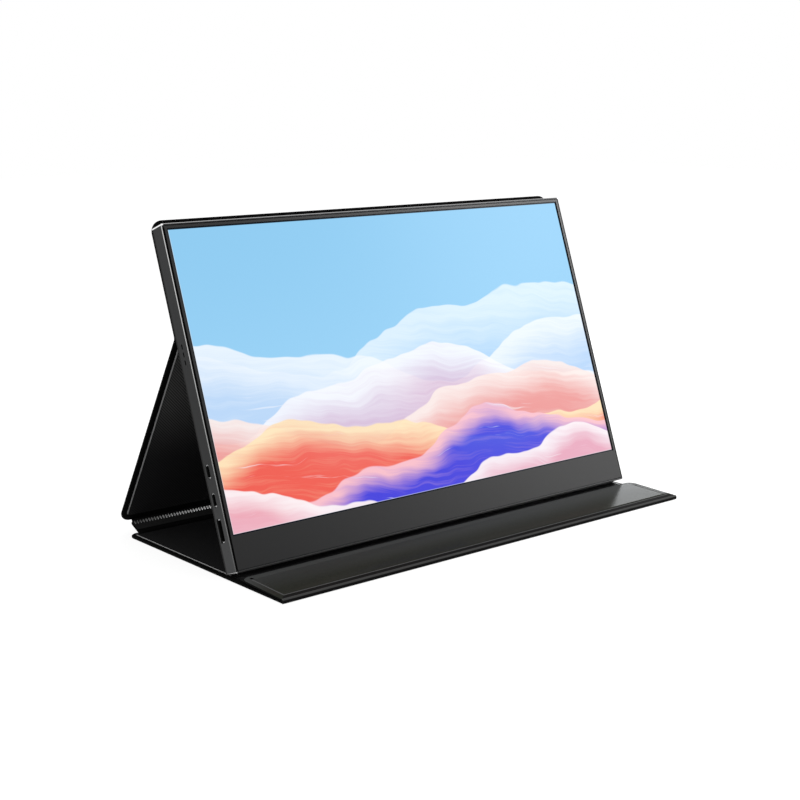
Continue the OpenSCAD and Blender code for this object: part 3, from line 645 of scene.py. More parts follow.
def case_finish(case):
    """Dark anodised metal, drawn along each wall, with a polished chamfer at the front."""
    finish = Finish("case_metal_anodised")
    across, up, depth = finish.split(finish.place(MONITOR))
    outward = finish.math("ABSOLUTE", across)
    streaks = drawn_streaks(finish)
    chamfer = case.chamfer

    # Painted highlight on the chamfer: dim at the foot of the case and bright at its top
    lip = finish.past_all((depth, -chamfer - 0.06 * MM, -chamfer + 0.02 * MM),
                          (depth, -0.5 * chamfer, -0.6 * chamfer),
                          (up, chamfer, 1.6 * chamfer))
    painted_rise = finish.math("POWER", finish.blend_over(up, 0.0, 0.9 * MONITOR_H, "LINEAR"), 1.25)
    polish = finish.mix(painted_rise, shade(case.polish, 0.14), case.polish)
    painted = finish.mix(lip, wall_colour(finish, case, streaks), polish)

    # A painted shade line for the groove between the chamfer and the bezel runs down the sides
    seam_shade = finish.past_all((depth, -0.5 * chamfer, -0.4 * chamfer),
                           (up, MONITOR_H - 2 * MM, MONITOR_H - 3 * MM),
                           (outward, SIDE - 2 * MM, SIDE - 1.8 * MM))
    painted = finish.mix(seam_shade, painted, grey(0.001))

    # The foot's chamfer is matt grey and not bare metal, painted light that keeps it as pale as the chin
    foot = finish.past_all((up, 0.9 * MM, 0.8 * MM), (depth, -chamfer - 0.02 * MM, -chamfer))
    painted = finish.mix(foot, painted, grey(0.035))

    # The insides of the openings in the side walls are painted black, a painted shade in their hollows
    opening = finish.past_all((outward, SIDE - 0.1 * MM, SIDE - 0.15 * MM),
                              (up, 10 * MM, 11 * MM), (up, 160 * MM, 159 * MM),
                              (outward, SIDE - 1.5 * MM, SIDE - 1.4 * MM), (depth, -2 * MM, -2.2 * MM))
    painted = finish.mix(opening, painted, grey(0.0015))

    # The corners get painted highlights, near-white glints
    at_side = finish.blend_over(outward, SIDE - 1.3 * MM, SIDE - 1.2 * MM)
    at_top = finish.blend_over(up, MONITOR_H - 1.3 * MM, MONITOR_H - 1.1 * MM)
    at_bottom = finish.product(finish.blend_over(up, 0.95 * MM, 0.7 * MM), 0.55)
    corner = finish.product(at_side, finish.math("MAXIMUM", at_top, at_bottom))
    shiny = finish.math("MAXIMUM", lip, corner)
    satin = finish.math("MULTIPLY_ADD", streaks, 0.12, 0.34)
    return finish.give(
        Base_Color=finish.mix(corner, painted, grey(0.95)),
        Metallic=finish.math("SUBTRACT", 1.0, foot),
        Roughness=finish.mix_value(shiny, satin, 0.24),
        Normal=finish.bump(streaks, 0.06, 0.02 * MM))


def bezel_window():
    """Corners of the bezel's opening, in the monitor's frame."""
    within_side, above_chin, below_top = 3 * MM, 15 * MM, 2.5 * MM
    return corners([p for p in local_points("front_bezel", MONITOR)
                    if abs(p.x) < SIDE - within_side and above_chin < p.y < MONITOR_H - below_top])


WAVES = (
    # level, swell, beats across, start, ripple, its beats, its start, crest colour, body colour, cover, fall
    (0.60, 0.100, 5.2, 3.6, 0.030, 13.0, 1.0, (0.78, 0.90, 1.00), (0.42, 0.66, 0.95), 0.85, 0.30),
    (0.50, 0.110, 6.4, 1.1, 0.035, 15.0, 2.3, (0.90, 0.95, 1.00), (0.50, 0.68, 0.93), 0.85, 0.22),
    (0.40, 0.100, 5.6, 5.0, 0.030, 17.0, 4.0, (0.95, 0.96, 1.00), (0.72, 0.50, 0.66), 0.85, 0.20),
    (0.31, 0.090, 7.0, 2.4, 0.025, 15.0, 0.4, (0.98, 0.85, 0.80), (0.86, 0.30, 0.26), 0.90, 0.16),
    (0.23, 0.080, 6.2, 0.2, 0.020, 19.0, 5.1, (1.00, 0.80, 0.50), (0.88, 0.10, 0.06), 0.92, 0.14),
    (0.13, 0.100, 5.4, 4.2, 0.020, 17.0, 2.9, (0.95, 0.55, 0.62), (0.02, 0.05, 0.75), 0.95, 0.10),
    (0.04, 0.070, 6.8, 1.8, 0.020, 21.0, 1.3, (0.98, 0.90, 0.92), (0.85, 0.42, 0.50), 0.95, 0.10),
)


def wave_picture(finish, screen, u, v):
    """Soft waves that drift in front of a pale sky. u and v run from 0 to 1 across and up the screen."""
    # Slow drift bends every wave a little, and fine silky threads follow it
    grid = finish.add("ShaderNodeCombineXYZ", _0=finish.product(u, 2.2), _1=finish.product(v, 1.2))
    drift = finish.noise(grid, 1.6, 3.0, 0.55)
    height = finish.math("MULTIPLY_ADD", finish.math("SUBTRACT", drift, 0.5), 0.22, v)
    silk = finish.add("ShaderNodeCombineXYZ", _0=finish.product(u, 1.4),
                      _1=finish.math("MULTIPLY_ADD", height, 16.0, finish.product(u, 3.0)))
    threads = finish.noise(silk, 2.4, 4.0, 0.65)

    picture = finish.mix(finish.blend_over(v, 0.2, 1.0), screen.haze, screen.sky)
    for level, swell, beats, start, ripple, ripple_beats, ripple_start, crest, body, cover, fall in WAVES:
        swing = finish.math("SINE", finish.math("MULTIPLY_ADD", u, beats, start))
        flutter = finish.math("SINE", finish.math("MULTIPLY_ADD", u, ripple_beats, ripple_start))
        top_line = finish.math("MULTIPLY_ADD", swing, swell, level)
        top_line = finish.math("MULTIPLY_ADD", flutter, ripple, top_line)
        below = finish.math("SUBTRACT", top_line, height)
        sheet = finish.blend_over(below, 0.0, 0.006)
        deep = finish.blend_over(below, 0.0, fall)
        streaked = finish.math("MULTIPLY_ADD", threads, 0.9, finish.math("SUBTRACT", deep, 0.45))
        picture = finish.mix(finish.product(sheet, cover), picture, finish.mix(streaked, crest, body))
    gleam = finish.past_all((threads, 0.60, 0.70), (v, 0.62, 0.30))
    return finish.mix(finish.product(gleam, 0.5), picture, (0.97, 0.97, 1.0))


def screen_finish(screen):
    """Satin display glass with a lit picture of soft drifting waves inside a dark border."""
    finish = Finish("display_waves", Specular_IOR_Level=0.06, Roughness=0.3)
    across, up, depth = finish.split(finish.place(MONITOR))
    low, high = bezel_window()
    left, right = low.x + screen.border, high.x - screen.border
    bottom, top = low.y + screen.border, high.y - screen.border
    u = finish.blend_over(across, left, right, "LINEAR")
    v = finish.blend_over(up, bottom, top, "LINEAR")
    picture = wave_picture(finish, screen, u, v)

    # A thin pale edge shows along the left and the bottom
    edge = 0.5 * MM
    at_left = finish.product(finish.blend_over(across, left + edge, left), 0.5)
    at_bottom = finish.product(finish.blend_over(up, bottom + edge, bottom), 0.5)
    picture = finish.mix(finish.math("MAXIMUM", at_left, at_bottom), picture, (0.9, 0.95, 1.0))

    # Lit only inside the border and on the front face
    soft = 0.15 * MM
    front = local_box("lcd_cell", MONITOR)[1].z
    inside = finish.past_all((across, left - soft, left), (across, right + soft, right),
                             (up, bottom - soft, bottom), (up, top + soft, top))
    lit = finish.product(inside, finish.math("GREATER_THAN", depth, front - 0.05 * MM))
    dust = finish.noise(finish.place(MONITOR), 900.0)
    return finish.give(
        Base_Color=finish.mix(dust, (0.002, 0.005, 0.011), (0.003, 0.007, 0.015)),
        Emission_Color=finish.mix(lit, (0, 0, 0), picture), Emission_Strength=1.0,
        Normal=finish.bump(dust, 0.02, 0.01 * MM))


def piping_finish(name, cover, place, start):
    """Bead painted pale, a painted highlight. It is black before start, where that is given."""
    finish = Finish(name)
    spot = finish.place(place)
    fibres = finish.noise(spot, 3300.0, 3.0)
    colour = finish.mix(fibres, *dark_and_light(cover.bead, 0.15))
    if start:
        along = finish.split(spot)[1]
        colour = finish.mix(finish.blend_over(along, start - 3 * MM, start), grey(0.002), colour)
    return finish.give(Base_Color=colour,
                       Roughness=finish.math("MULTIPLY_ADD", fibres, 0.1, 0.4),
                       Normal=finish.bump(fibres, 0.05, 0.02 * MM))


def flap_finish(cover):
    """Smooth leather, with painted light that makes it paler towards the free edge, and matt along the fold.
    """
    finish = Finish(leather_finish("flap_leather", cover.flap, FLAP, (0.15, 0.2), 0.006, 0.02))
    margin = local_box("flap_skin", FLAP)[0].y + cover.hem + cover.line
    along = finish.split(finish.place(FLAP))[1]
    # Painted light: the flap turns paler towards its free edge
    fade = finish.product(finish.blend_over(along, 10 * MM, 43 * MM), 0.9)
    matt = finish.blend_over(along, margin + 2.4 * MM, margin + 2 * MM)
    return finish.give(Base_Color=finish.mix(fade, finish.fed_by("Base Color"), cover.flap_lit_paler),
                       Roughness=finish.mix_value(matt, finish.fed_by("Roughness"), 0.8))


def thread_finish():
    """Pale twisted thread, with painted shade that makes it greyer towards the ends of the band."""
    finish = Finish("spine_rib_thread")
    spot = finish.place(SPINE)
    fibres = finish.noise(spot, 3000.0, 3.0)
    outward = finish.math("ABSOLUTE", finish.split(spot)[0])
    # Painted shade: the band dims towards its ends, where less light reaches it
    middle = finish.math("POWER", finish.blend_over(outward, 178 * MM, 105 * MM, "LINEAR"), 1.6)
    pale = finish.mix(fibres, grey(0.9), grey(1.0))
    shaded_ends = finish.mix(fibres, grey(0.025), grey(0.05))
    return finish.give(Base_Color=finish.mix(middle, shaded_ends, pale),
                       Roughness=finish.math("MULTIPLY_ADD", fibres, 0.15, 0.35),
                       Normal=finish.bump(fibres, 0.2, 0.04 * MM))


def fold_finish(fold, cover):
    """Soft matt leather of a fold."""
    return leather_finish(f"{fold}_soft_leather", cover.fold, None, (0.6, 0.75), 0.03)


def roll_finish(cover):
    """The flap's fold, with a painted highlight that makes it paler along its top."""
    finish = Finish(fold_finish("flap_fold", cover))
    height = finish.split(finish.place())[2]
    painted_lit = finish.blend_over(height, 1.38 * flap_axis.z, 1.6 * flap_axis.z)
    return finish.give(Base_Color=finish.mix(painted_lit, finish.fed_by("Base Color"), cover.fold_lit_top))


# ---- the monitor ----

class MONITOR_OT_case(bpy.types.Operator):
    """Finish the case frame, the bezel and the back plate"""
    bl_idname = "monitor.case"
    bl_label = "Case, Bezel and Back Plate"

    def execute(self, context):
        case = context.scene.monitor_case
        dress(nodes["case_frame"], case_finish(case))
        dress(nodes["front_bezel"], speckled(
            "bezel_satin", case.bezel, 0.25 * MM, share=0.08, rough=(0.36, 0.44), bump=0.04,
            depth=0.02 * MM, where=MONITOR, Specular_IOR_Level=0.2))
        dress(nodes["back_plate"], speckled(
            "back_metal_blasted", case.back, 0.22 * MM, share=0.15, rough=(0.4, 0.5), bump=0.12,
            depth=0.03 * MM, where=MONITOR, Metallic=0.9))
        dress(nodes["chin_support"], speckled("black_plastic_moulded", (0.02, 0.02, 0.021), 0.6 * MM))
        return {"FINISHED"}


class MONITOR_OT_screen(bpy.types.Operator):
    """Light the display with its picture of waves"""
    bl_idname = "monitor.screen"
    bl_label = "Screen"

    def execute(self, context):
        dress(nodes["lcd_cell"], screen_finish(context.scene.monitor_screen))
        return {"FINISHED"}


class MONITOR_OT_inner_parts(bpy.types.Operator):
    """Finish the parts inside the case and the cover's stiffeners"""
    bl_idname = "monitor.inner_parts"
    bl_label = "Inner Parts"

    def execute(self, context):
        glossy, coated = {"Coat_Weight": 0.4}, {"Coat_Weight": 0.3}
        plain = (
            ("white_plastic_moulded", (0.85, 0.85, 0.83), {},
             "panel_frame", "reflector_sheet", "optical_films"),
            ("clear_plastic_moulded", (0.85, 0.9, 0.92), glossy, "light_guide"),
            ("lamp_strip_lamps", (0.82, 0.78, 0.5), {}, "led_bar"),
            ("amber_film_printed", (0.7, 0.4, 0.1), coated, "source_flexes"),
            ("circuit_board_mask", (0.03, 0.17, 0.08), coated, "driver_board", "main_board", "side_board"),
            ("chip_plastic", (0.03, 0.03, 0.032), {}, "board_parts", "speaker_left", "speaker_right"),
            ("black_foam", (0.02, 0.02, 0.02), {}, "speaker_gaskets"),
            ("wire_rubber_red", (0.45, 0.04, 0.04), {}, "speaker_wires"),
            ("flat_cable_ivory", (0.82, 0.8, 0.7), {}, "panel_cable", "side_board_cable"),
            ("stiffener_board_pressed", (0.4, 0.31, 0.2), {},
             "back_board", "leg_board", "spine_board", "floor_board", "flap_board"),
        )
        metals = (
            ("steel_sheet", (0.56, 0.57, 0.58), "panel_tray", "tact_switches", "keeper_plates"),
            ("spreader_metal_plain", (0.66, 0.67, 0.68), "heat_spreader"),
            ("screw_steel_black", (0.1, 0.1, 0.1), "board_screws"),
            ("magnet_nickel", (0.6, 0.6, 0.6), "back_magnets", "flap_magnets"),
        )
        for name, colour, shader, *members in plain:
            self.dress_all(members, speckled(name, colour, 0.8 * MM, **shader))
        for name, colour, *members in metals:
            self.dress_all(members, metal_finish(name, colour))
        return {"FINISHED"}

    def dress_all(self, members, material):
        for member in members:
            dress(nodes[member], material)


def port_place(low, high):
    """Frame of a port in the left wall: x runs up the wall, y forward, and z out of the wall."""
    centre = MONITOR @ Vector((low.x, (low.y + high.y) / 2, (low.z + high.z) / 2))
    turn = MONITOR.to_3x3() @ Matrix(((0, 0, -1), (1, 0, 0), (0, -1, 0)))
    return Matrix.Translation(centre) @ turn.to_4x4()


def mouth(obj, wall, depth, lip):
    """Hollows the front (+z) of a solid shape to a blind mouth with a rounded lip."""
    take(obj)
    edit()
    pick_widest(1)
    bpy.ops.mesh.inset(thickness=wall)
    extrude((0, 0, -depth))
    front = max(vertex.co.z for vertex in edited().verts)
    pick("edges", lambda edge: all(abs(vertex.co.z - front) < HAIR for vertex in edge.verts)
         and any(abs(face.normal.z) < 0.5 for face in edge.link_faces))
    bpy.ops.mesh.bevel(offset=lip, segments=2, affect="EDGES")
    close()
    face_out(obj)


def port_shell(size, cut_corner):
    """Shell of a port: an oval, or a box with two of its corners cut. size is length, height and depth."""
    length, height, deep = size
    shell = slab("port_shell", Vector((-length / 2, -height / 2, -deep)), Vector((length / 2, height / 2, 0)))
    edit()
    if cut_corner:
        pick("verts", lambda vertex: vertex.co.y > 0)
        bpy.ops.mesh.bevel(offset=cut_corner, segments=1, affect="VERTICES")
        pick("verts", lambda vertex: vertex.co.y < 0)
        bpy.ops.mesh.bevel(offset=0.4 * MM, segments=3, affect="VERTICES")
    else:
        pick_all()
        bpy.ops.mesh.bevel(offset=height / 2 - 0.01 * MM, segments=8, affect="VERTICES")
    pick_all()
    extrude((0, 0, deep))
    turn_out()
    close()
    mouth(shell, wall=0.6 * MM, depth=deep - 0.8 * MM, lip=0.1 * MM)
    return shell


def tongue_parts(deep, tongue, sunk, shift, contacts):
    """A port's tongue and the contacts on both of its sides."""
    wide, thick = tongue
    root = 0.5 * MM - deep
    parts = [block("tongue", Vector((-wide / 2, shift - thick / 2, root)),
                   Vector((wide / 2, shift + thick / 2, -sunk)), 0.1 * MM)]
    half_w, half_t = 0.13 * MM, 0.03 * MM
    for i in range(contacts):
        x = (i - (contacts - 1) / 2) * wide / contacts
        for y in (shift - thick / 2, shift + thick / 2):
            parts.append(block("contact", Vector((x - half_w, y - half_t, root + 0.1 * MM)),
                               Vector((x + half_w, y + half_t, -sunk - 0.4 * MM))))
    return parts


class MONITOR_OT_ports(bpy.types.Operator):
    """Model the oval ports and the wide port with their lips, tongues and contacts"""
    bl_idname = "monitor.ports"
    bl_label = "Ports"

    def execute(self, context):
        steel = metal_finish("steel_port_lip", (0.45, 0.45, 0.455), (0.25, 0.35))
        gold = metal_finish("gold_contacts", (0.8, 0.58, 0.25), (0.25, 0.35))
        # Painted shade: the port shells are near-black so the mouths read dark
        dark = speckled("dark_port_shell", grey(0.0015), 0.3 * MM, Specular_IOR_Level=0.04)
        black = speckled("black_plastic_tongue", grey(0.003), 0.3 * MM, Specular_IOR_Level=0.1)
        self.inside, self.outside = (black, gold), (dark, steel)

        points = local_points("usb_ports", MONITOR)
        low, high = corners(points)
        middle = (low.y + high.y) / 2
        ovals = [corners([p for p in points if (p.y > middle) == upper]) for upper in (False, True)]
        wide_port = [local_box("hdmi_port", MONITOR)]
        shell = self.ports(ovals, "usb_port_shells", "usb_port_tongues", cut_corner=0.0,
                           tongue=(5.9 * MM, 0.7 * MM), sunk=0.9 * MM, shift=0.0, contacts=6)
        smooth(shell, 40)
        settle(shell, "monitor", "steel", "usb_ports")
        shell = self.ports(wide_port, "hdmi_port_shell", "hdmi_port_tongue", cut_corner=1.6 * MM,
                           tongue=(11.0 * MM, 1.2 * MM), sunk=2.2 * MM, shift=0.4 * MM, contacts=9)
        smooth(shell, 30)
        settle(shell, "monitor", "steel", "hdmi_port")
        dress(nodes["headphone_jack"], speckled("black_plastic_jack", (0.015, 0.015, 0.016), 0.4 * MM))
        return {"FINISHED"}

    def ports(self, boxes, shell_name, tongue_name, cut_corner, **tongue):
        """Shells of like ports as one piece, which is given back, and their tongues as another."""
        shells, tongues = [], []
        for low, high in boxes:
            place = port_place(low, high)
            length, height, deep = high.y - low.y, high.z - low.z, high.x - low.x
            shell = port_shell((length, height, deep), cut_corner)
            dress(shell, *self.outside)
            # Steel is painted only at the ends of the lip as painted glints, and the rest of the shell keeps
            # its painted shade
            for face in shell.data.polygons:
                at_end = abs(face.center.x) > length / 2 - 0.9 * MM
                face.material_index = int(at_end and face.center.z > -0.3 * MM)
            put_at(shell, place)
            shells.append(shell)
            for number, part in enumerate(tongue_parts(deep, **tongue)):
                dress(part, *self.inside)
                paint_all(part, min(number, 1))
                put_at(part, place)
                tongues.append(part)
        tongues = merge(tongue_name, tongues)
        smooth(tongues, 40)
        settle(tongues, "monitor", "black_plastic")
        return merge(shell_name, shells)


class MONITOR_OT_buttons(bpy.types.Operator):
    """Round the edges of the power button and the menu rocker"""
    bl_idname = "monitor.buttons"
    bl_label = "Buttons"

    def execute(self, context):
        metal = speckled("button_metal_satin", context.scene.monitor_case.buttons, 0.2 * MM,
                         rough=(0.3, 0.4), bump=0.06, depth=0.02 * MM, where=MONITOR, Metallic=0.9)
        for node in ("power_button", "menu_rocker"):
            key = copy_of(nodes[node], f"{node}_key")
            face_out(key)
            modify(key, "BEVEL", width=0.12 * MM, segments=2, limit_method="ANGLE",
                   angle_limit=math.radians(50))
            dress(key, metal)
            smooth(key, 40)
            settle(key, node, "button_metal", node)
        return {"FINISHED"}


HEAD_R, HEAD_T = 1.6 * MM, 0.6 * MM
SHANK_R, SHANK_L = 0.74 * MM, 3.4 * MM
CROSS_L, CROSS_W = 1.9 * MM, 0.42 * MM
HEADS_APART = 6 * MM  # points nearer than this are on one head
SCREW_TURN = 0.7  # angle from one screw's cross to the next one's


def screw_places():
    """Middle of each case screw's outer face, in the monitor's frame."""
    points = local_points("case_screws", MONITOR)
    rear = min(p.z for p in points)
    heads = []
    for point in points:
        if point.z - rear > 0.05 * MM:
            continue
        near = next((head for head in heads if (head[0] - point).length < HEADS_APART), None)
        if near:
            near.append(point)
        else:
            heads.append([point])
    middles = [sum(head, Vector()) / len(head) for head in heads]
    return [Vector((middle.x, middle.y, rear)) for middle in middles]


def screw(recess):
    """Screw with a cross recess, its head's outer face on the origin and looking along +z."""
    head = start_with(bpy.ops.mesh.primitive_cylinder_add, "screw_head", (1, 1, 1),
                      Matrix.Translation((0, 0, -HEAD_T / 2)), vertices=32, radius=HEAD_R, depth=HEAD_T)
    edit()
    pick("edges", lambda edge: all(vertex.co.z > -HAIR for vertex in edge.verts))
    bpy.ops.mesh.bevel(offset=0.18 * MM, segments=3, affect="EDGES")
    close()
    for turn in (0, math.pi / 2):
        bar = start_with(bpy.ops.mesh.primitive_cube_add, "bar", (CROSS_L, CROSS_W, 2 * recess),
                         Matrix.Rotation(turn, 4, "Z"), size=1)
        edit()
        pick("verts", lambda vertex: vertex.co.z < 0)
        bpy.ops.transform.resize(value=(0.75, 0.75, 1))
        close()
        cut_out(head, bar)
    under = -HEAD_T + 0.1 * MM
    shank = start_with(bpy.ops.mesh.primitive_cylinder_add, "shank", (1, 1, 1),
                       Matrix.Translation((0, 0, under - SHANK_L / 2)), vertices=16, radius=SHANK_R,
                       depth=SHANK_L)
    return merge("screw", [head, shank])


class MONITOR_OT_case_screws(bpy.types.Operator):
    """Model the screws of the back plate with their cross recesses"""
    bl_idname = "monitor.case_screws"
    bl_label = "Case Screws"

    def execute(self, context):
        first = screw(context.scene.monitor_case.screw_recess)
        outwards = Matrix.Rotation(math.pi, 4, "X")
        screws = []
        for number, spot in enumerate(screw_places()):
            twin = copy_of(first, "screw")
            place = MONITOR @ Matrix.Translation(spot) @ outwards
            put_at(twin, place @ Matrix.Rotation(number * SCREW_TURN, 4, "Z"))
            screws.append(twin)
        bpy.data.objects.remove(first)
        obj = merge("case_screw_heads", screws)
        dress(obj, metal_finish("screw_steel_head", (0.12, 0.12, 0.125), (0.28, 0.4)))
        smooth(obj, 35)
        settle(obj, "monitor", "screw_steel", "case_screws")
        return {"FINISHED"}


# ---- the cover ----

# A leather panel's material slots, after the first, which is its leather
PIPING, EDGE, LINE, MARGIN = 1, 2, 3, 4


def leather_panel(node, name, place, cover, corner, round_end=1, longer=0.0, rim=0.98):
    """Stiff panel in leather, flat and in edit mode, and the corners of its box. round_end is 1 or -1
    for the end with round corners. Faces that look outwards by less than rim take the edge's leather."""
    low, high = local_box(node, place)
    low.y -= longer
    obj = slab(name, low, high)
    edit()
    end = high.y if round_end > 0 else low.y
    pick("verts", lambda vertex: abs(vertex.co.y - end) < HAIR)
    bpy.ops.mesh.bevel(offset=corner, segments=10, affect="VERTICES")
    pick_all()
    extrude((0, 0, high.z - low.z))
    turn_out()
    pick("edges", lambda edge: abs(edge.verts[0].co.z - edge.verts[1].co.z) < HAIR)
    bpy.ops.mesh.bevel(offset=cover.edge, segments=3, affect="EDGES")
    pick("faces", lambda face: face.normal.z > -rim)
    paint_picked(EDGE)
    return obj, low, high


def bead(sign, inset, cover, rise, index, keep):
    """Raises or presses a line on the panel's face that looks along sign, that far in from its edge.
    Leaves the face inside the line selected."""
    pick_widest(sign)
    bpy.ops.mesh.inset(thickness=inset - cover.edge)
    bpy.ops.mesh.inset(thickness=cover.line)
    ring = ring_round(widest(sign))
    pick("faces", lambda face: face.index in ring and keep(face))
    extrude((0, 0, sign * rise))
    paint_picked(index)
    pick_widest(sign)


def dimple(panel, spot):
    """Sinks a small dent into the outer face of the leather, painted near-black: a painted shade in the
    hollow.
    """
    radius, sunk = 1.3 * MM, 0.48 * MM
    dent = start_with(bpy.ops.mesh.primitive_uv_sphere_add, "dent", (1.1, 1.7, 1),
                      Matrix.Translation(spot - Vector((0, 0, radius - sunk))),
                      segments=20, ring_count=12, radius=radius)
    dress(dent, *panel.data.materials)
    paint_all(dent, EDGE)
    face_out(panel)
    cut_out(panel, dent)


class MONITOR_OT_cover_panels(bpy.types.Operator):
    """Model the cover's five panels: leather, beads, pressed lines and linings"""
    bl_idname = "monitor.cover_panels"
    bl_label = "Cover Panels"

    def execute(self, context):
        cover = context.scene.monitor_cover
        # Painted shade: the edges' leather is near-black, darker than the faces
        edge = speckled("cover_edge_leather", cover.edges, 0.4 * MM, share=0.3, rough=(0.75, 0.9),
                        depth=0.03 * MM, Specular_IOR_Level=0.03)
        margin = speckled("flap_margin_leather", cover.margin, 0.4 * MM, share=0.3, rough=(0.7, 0.8),
                          depth=0.03 * MM, where=FLAP, Specular_IOR_Level=0.01)
        tight = 0.76 * cover.corner
        # The floor's beads carry their painted highlight only behind the screen, and the leg's lose it at its
        # foot
        behind_screen = MONITOR.to_translation().y + 12 * MM - FLOOR.to_translation().y
        self.panel(cover, "floor", "floor_panel", FLOOR, edge, margin, hem=0.8 * cover.hem,
                   bead_start=behind_screen, corner=tight)
        self.panel(cover, "leg", "leg", LEG, edge, margin, hem=cover.hem, bead_start=9 * MM,
                   corner=cover.corner, round_end=-1, longer=cover.leg_foot)
        self.panel(cover, "back", "back_panel", BACK, edge, margin, hem=cover.hem, corner=cover.corner)
        self.panel(cover, "flap", "flap", FLAP, edge, margin, hem=cover.hem, corner=tight, rim=0.6)
        self.spine(cover, edge)
        return {"FINISHED"}

    def panel(self, cover, part, body, place, edge, margin, hem, bead_start=None, **shape):
        """One panel and its lining."""
        obj, low, high = leather_panel(f"{part}_skin", f"{part}_panel_leather", place, cover, **shape)
        # The lining is sunk a little between the beads along both sides
        side = high.x - hem - cover.line
        bead(1, hem, cover, cover.line_rise, PIPING, lambda face: abs(face.calc_center_median().x) > side)
        bpy.ops.mesh.inset(thickness=0.03 * MM, depth=-0.3 * MM)
        bpy.ops.mesh.duplicate()
        bpy.ops.mesh.separate(type="SELECTED")
        if part == "flap":
            self.flap_line(cover, low, high)
        else:
            bead(-1, hem + 0.8 * MM, cover, -cover.line_rise, LINE, lambda face: True)
        close()
        lining = next(other for other in bpy.context.selected_objects if other is not obj)

        if part == "flap":
            leather = flap_finish(cover)
        else:
            leather = leather_finish(f"{part}_leather", cover.leather, place)
        # The pressed line is painted paler than the leather, a painted highlight
        line = speckled(f"{part}_pressed_line", cover.pressed, 0.3 * MM, share=0.2, rough=(0.75, 0.85),
                        bump=0.05, depth=0.02 * MM, Specular_IOR_Level=0.01)
        dress(obj, leather, piping_finish(f"{part}_piping", cover, place, bead_start), edge, line, margin)
        if part == "flap":
            dimple(obj, Vector((high.x - hem - 1.6 * MM, high.y - 4.6 * MM, low.z)))
        fit(obj, place, 40, body, "cover_leather", f"{part}_skin")
        self.lining(cover, lining, part, body, place)

    def flap_line(self, cover, low, high):
        """The flap's line is raised and stops short of its free edge. Its margin at the fold drops away."""
        stop, margin = high.y - 6 * MM, low.y + cover.hem
        bead(-1, cover.hem, cover, 0.4 * cover.line_rise, LINE,
             lambda face: face.calc_center_median().y < stop)
        pick("faces", lambda face: face.normal.z < -0.5 and face.calc_center_median().y < margin)
        paint_picked(MARGIN)
        pick("verts", lambda vertex: vertex.co.z < low.z + 0.45 * MM
             and vertex.co.y < low.y + 0.75 * cover.edge)
        bpy.ops.transform.translate(value=(0, 0, 0.35 * MM))

    def lining(self, cover, lining, part, body, place):
        """Gives the lining's face its thickness and its twill, with painted light that makes it pale up the
        leg.
        """
        leg = part == "leg"
        take(lining)
        lining.name = lining.data.name = f"{part}_panel_lining"
        edit()
        pick_all()
        extrude((0, 0, 0.24 * MM))
        close()
        lining.data.materials.clear()
        # Painted light: the leg's lining is 1.3 times lighter than the floor's
        dress(lining, twill_finish(f"{part}_lining_twill", shade(cover.cloth, 1.3 if leg else 1.0),
                                   cover.twill, place, (50 * MM, 118 * MM) if leg else None))
        paint_all(lining, 0)
        fit(lining, place, 30, body, "cover_lining", f"{part}_lining")

    def spine(self, cover, edge):
        """The spine is one narrow strip. Its inner leather takes the piping's slot."""
        obj = leather_panel("spine_skin", "spine_panel_leather", SPINE, cover, corner=3 * MM)[0]
        pick("faces", lambda face: face.normal.z > 0.98)
        paint_picked(PIPING)
        close()
        dress(obj, leather_finish("spine_leather", cover.leather, SPINE),
              leather_finish("spine_inner_leather", cover.spine, SPINE, (0.5, 0.6), 0.05), edge)
        fit(obj, SPINE, 40, "spine", "cover_leather", "spine_skin", "spine_lining")


class MONITOR_OT_spine_ribs(bpy.types.Operator):
    """Press the band of slanted ribs into the spine's inner side"""
    bl_idname = "monitor.spine_ribs"
    bl_label = "Spine Ribs"

    def execute(self, context):
        pitch = context.scene.monitor_cover.rib_pitch
        low, high = local_box("spine_skin", SPINE)
        count = int((high.x - low.x - 2 * MM) / pitch)
        start = Vector(((1 - count) / 2 * pitch, high.y - 2.8 * MM, high.z + 0.02 * MM))
        # Each rib is a thick stroke and the thin one that leads to the next: slant, shift and size
        strokes = []
        for slant, shift, size in ((-11, 0.0, (0.48, 1.8, 0.6)), (-46, 0.5, (0.28, 2.1, 0.45))):
            place = Matrix.Translation(start + Vector((shift * pitch, 0, 0)))
            turn = Matrix.Rotation(math.radians(slant), 4, "Z")
            strokes.append(start_with(bpy.ops.mesh.primitive_uv_sphere_add, "stroke", Vector(size) * MM,
                                      place @ turn, segments=8, ring_count=5, radius=1))
        band = merge("spine_rib_band", strokes)
        modify(band, "ARRAY", use_relative_offset=False, use_constant_offset=True,
               constant_offset_displace=(pitch, 0, 0), count=count)
        dress(band, thread_finish())
        put_at(band, SPINE)
        smooth(band, 60)
        settle(band, "spine", "cover_leather")
        return {"FINISHED"}


def bent_strip(name, width, thick, pivot, start, end):
    """Leather strip that bends about the x axis, from direction start to direction end, and reaches
    a little way into both panels."""
    turn = end - start
    reach = 0.5 * MM
    ahead, up = heading(start), heading(start + math.pi / 2)
    radius = FOLD_HALF / math.tan(turn / 2)
    centre = pivot - ahead * FOLD_HALF + up * radius
    # The section stands across the start direction: its own y becomes up
    stand = Matrix(((1, 0, 0), (0, up.y, ahead.y), (0, up.z, ahead.z))).to_4x4()
    obj = start_with(bpy.ops.mesh.primitive_plane_add, name, (width, thick, 1),
                     Matrix.Translation(pivot - ahead * (FOLD_HALF + reach)) @ stand, size=1)
    edit()
    pick_all()
    extrude(ahead * reach)
    sweep(centre, turn, steps=14)
    extrude(heading(end) * reach)
    close()
    face_out(obj)
    return obj


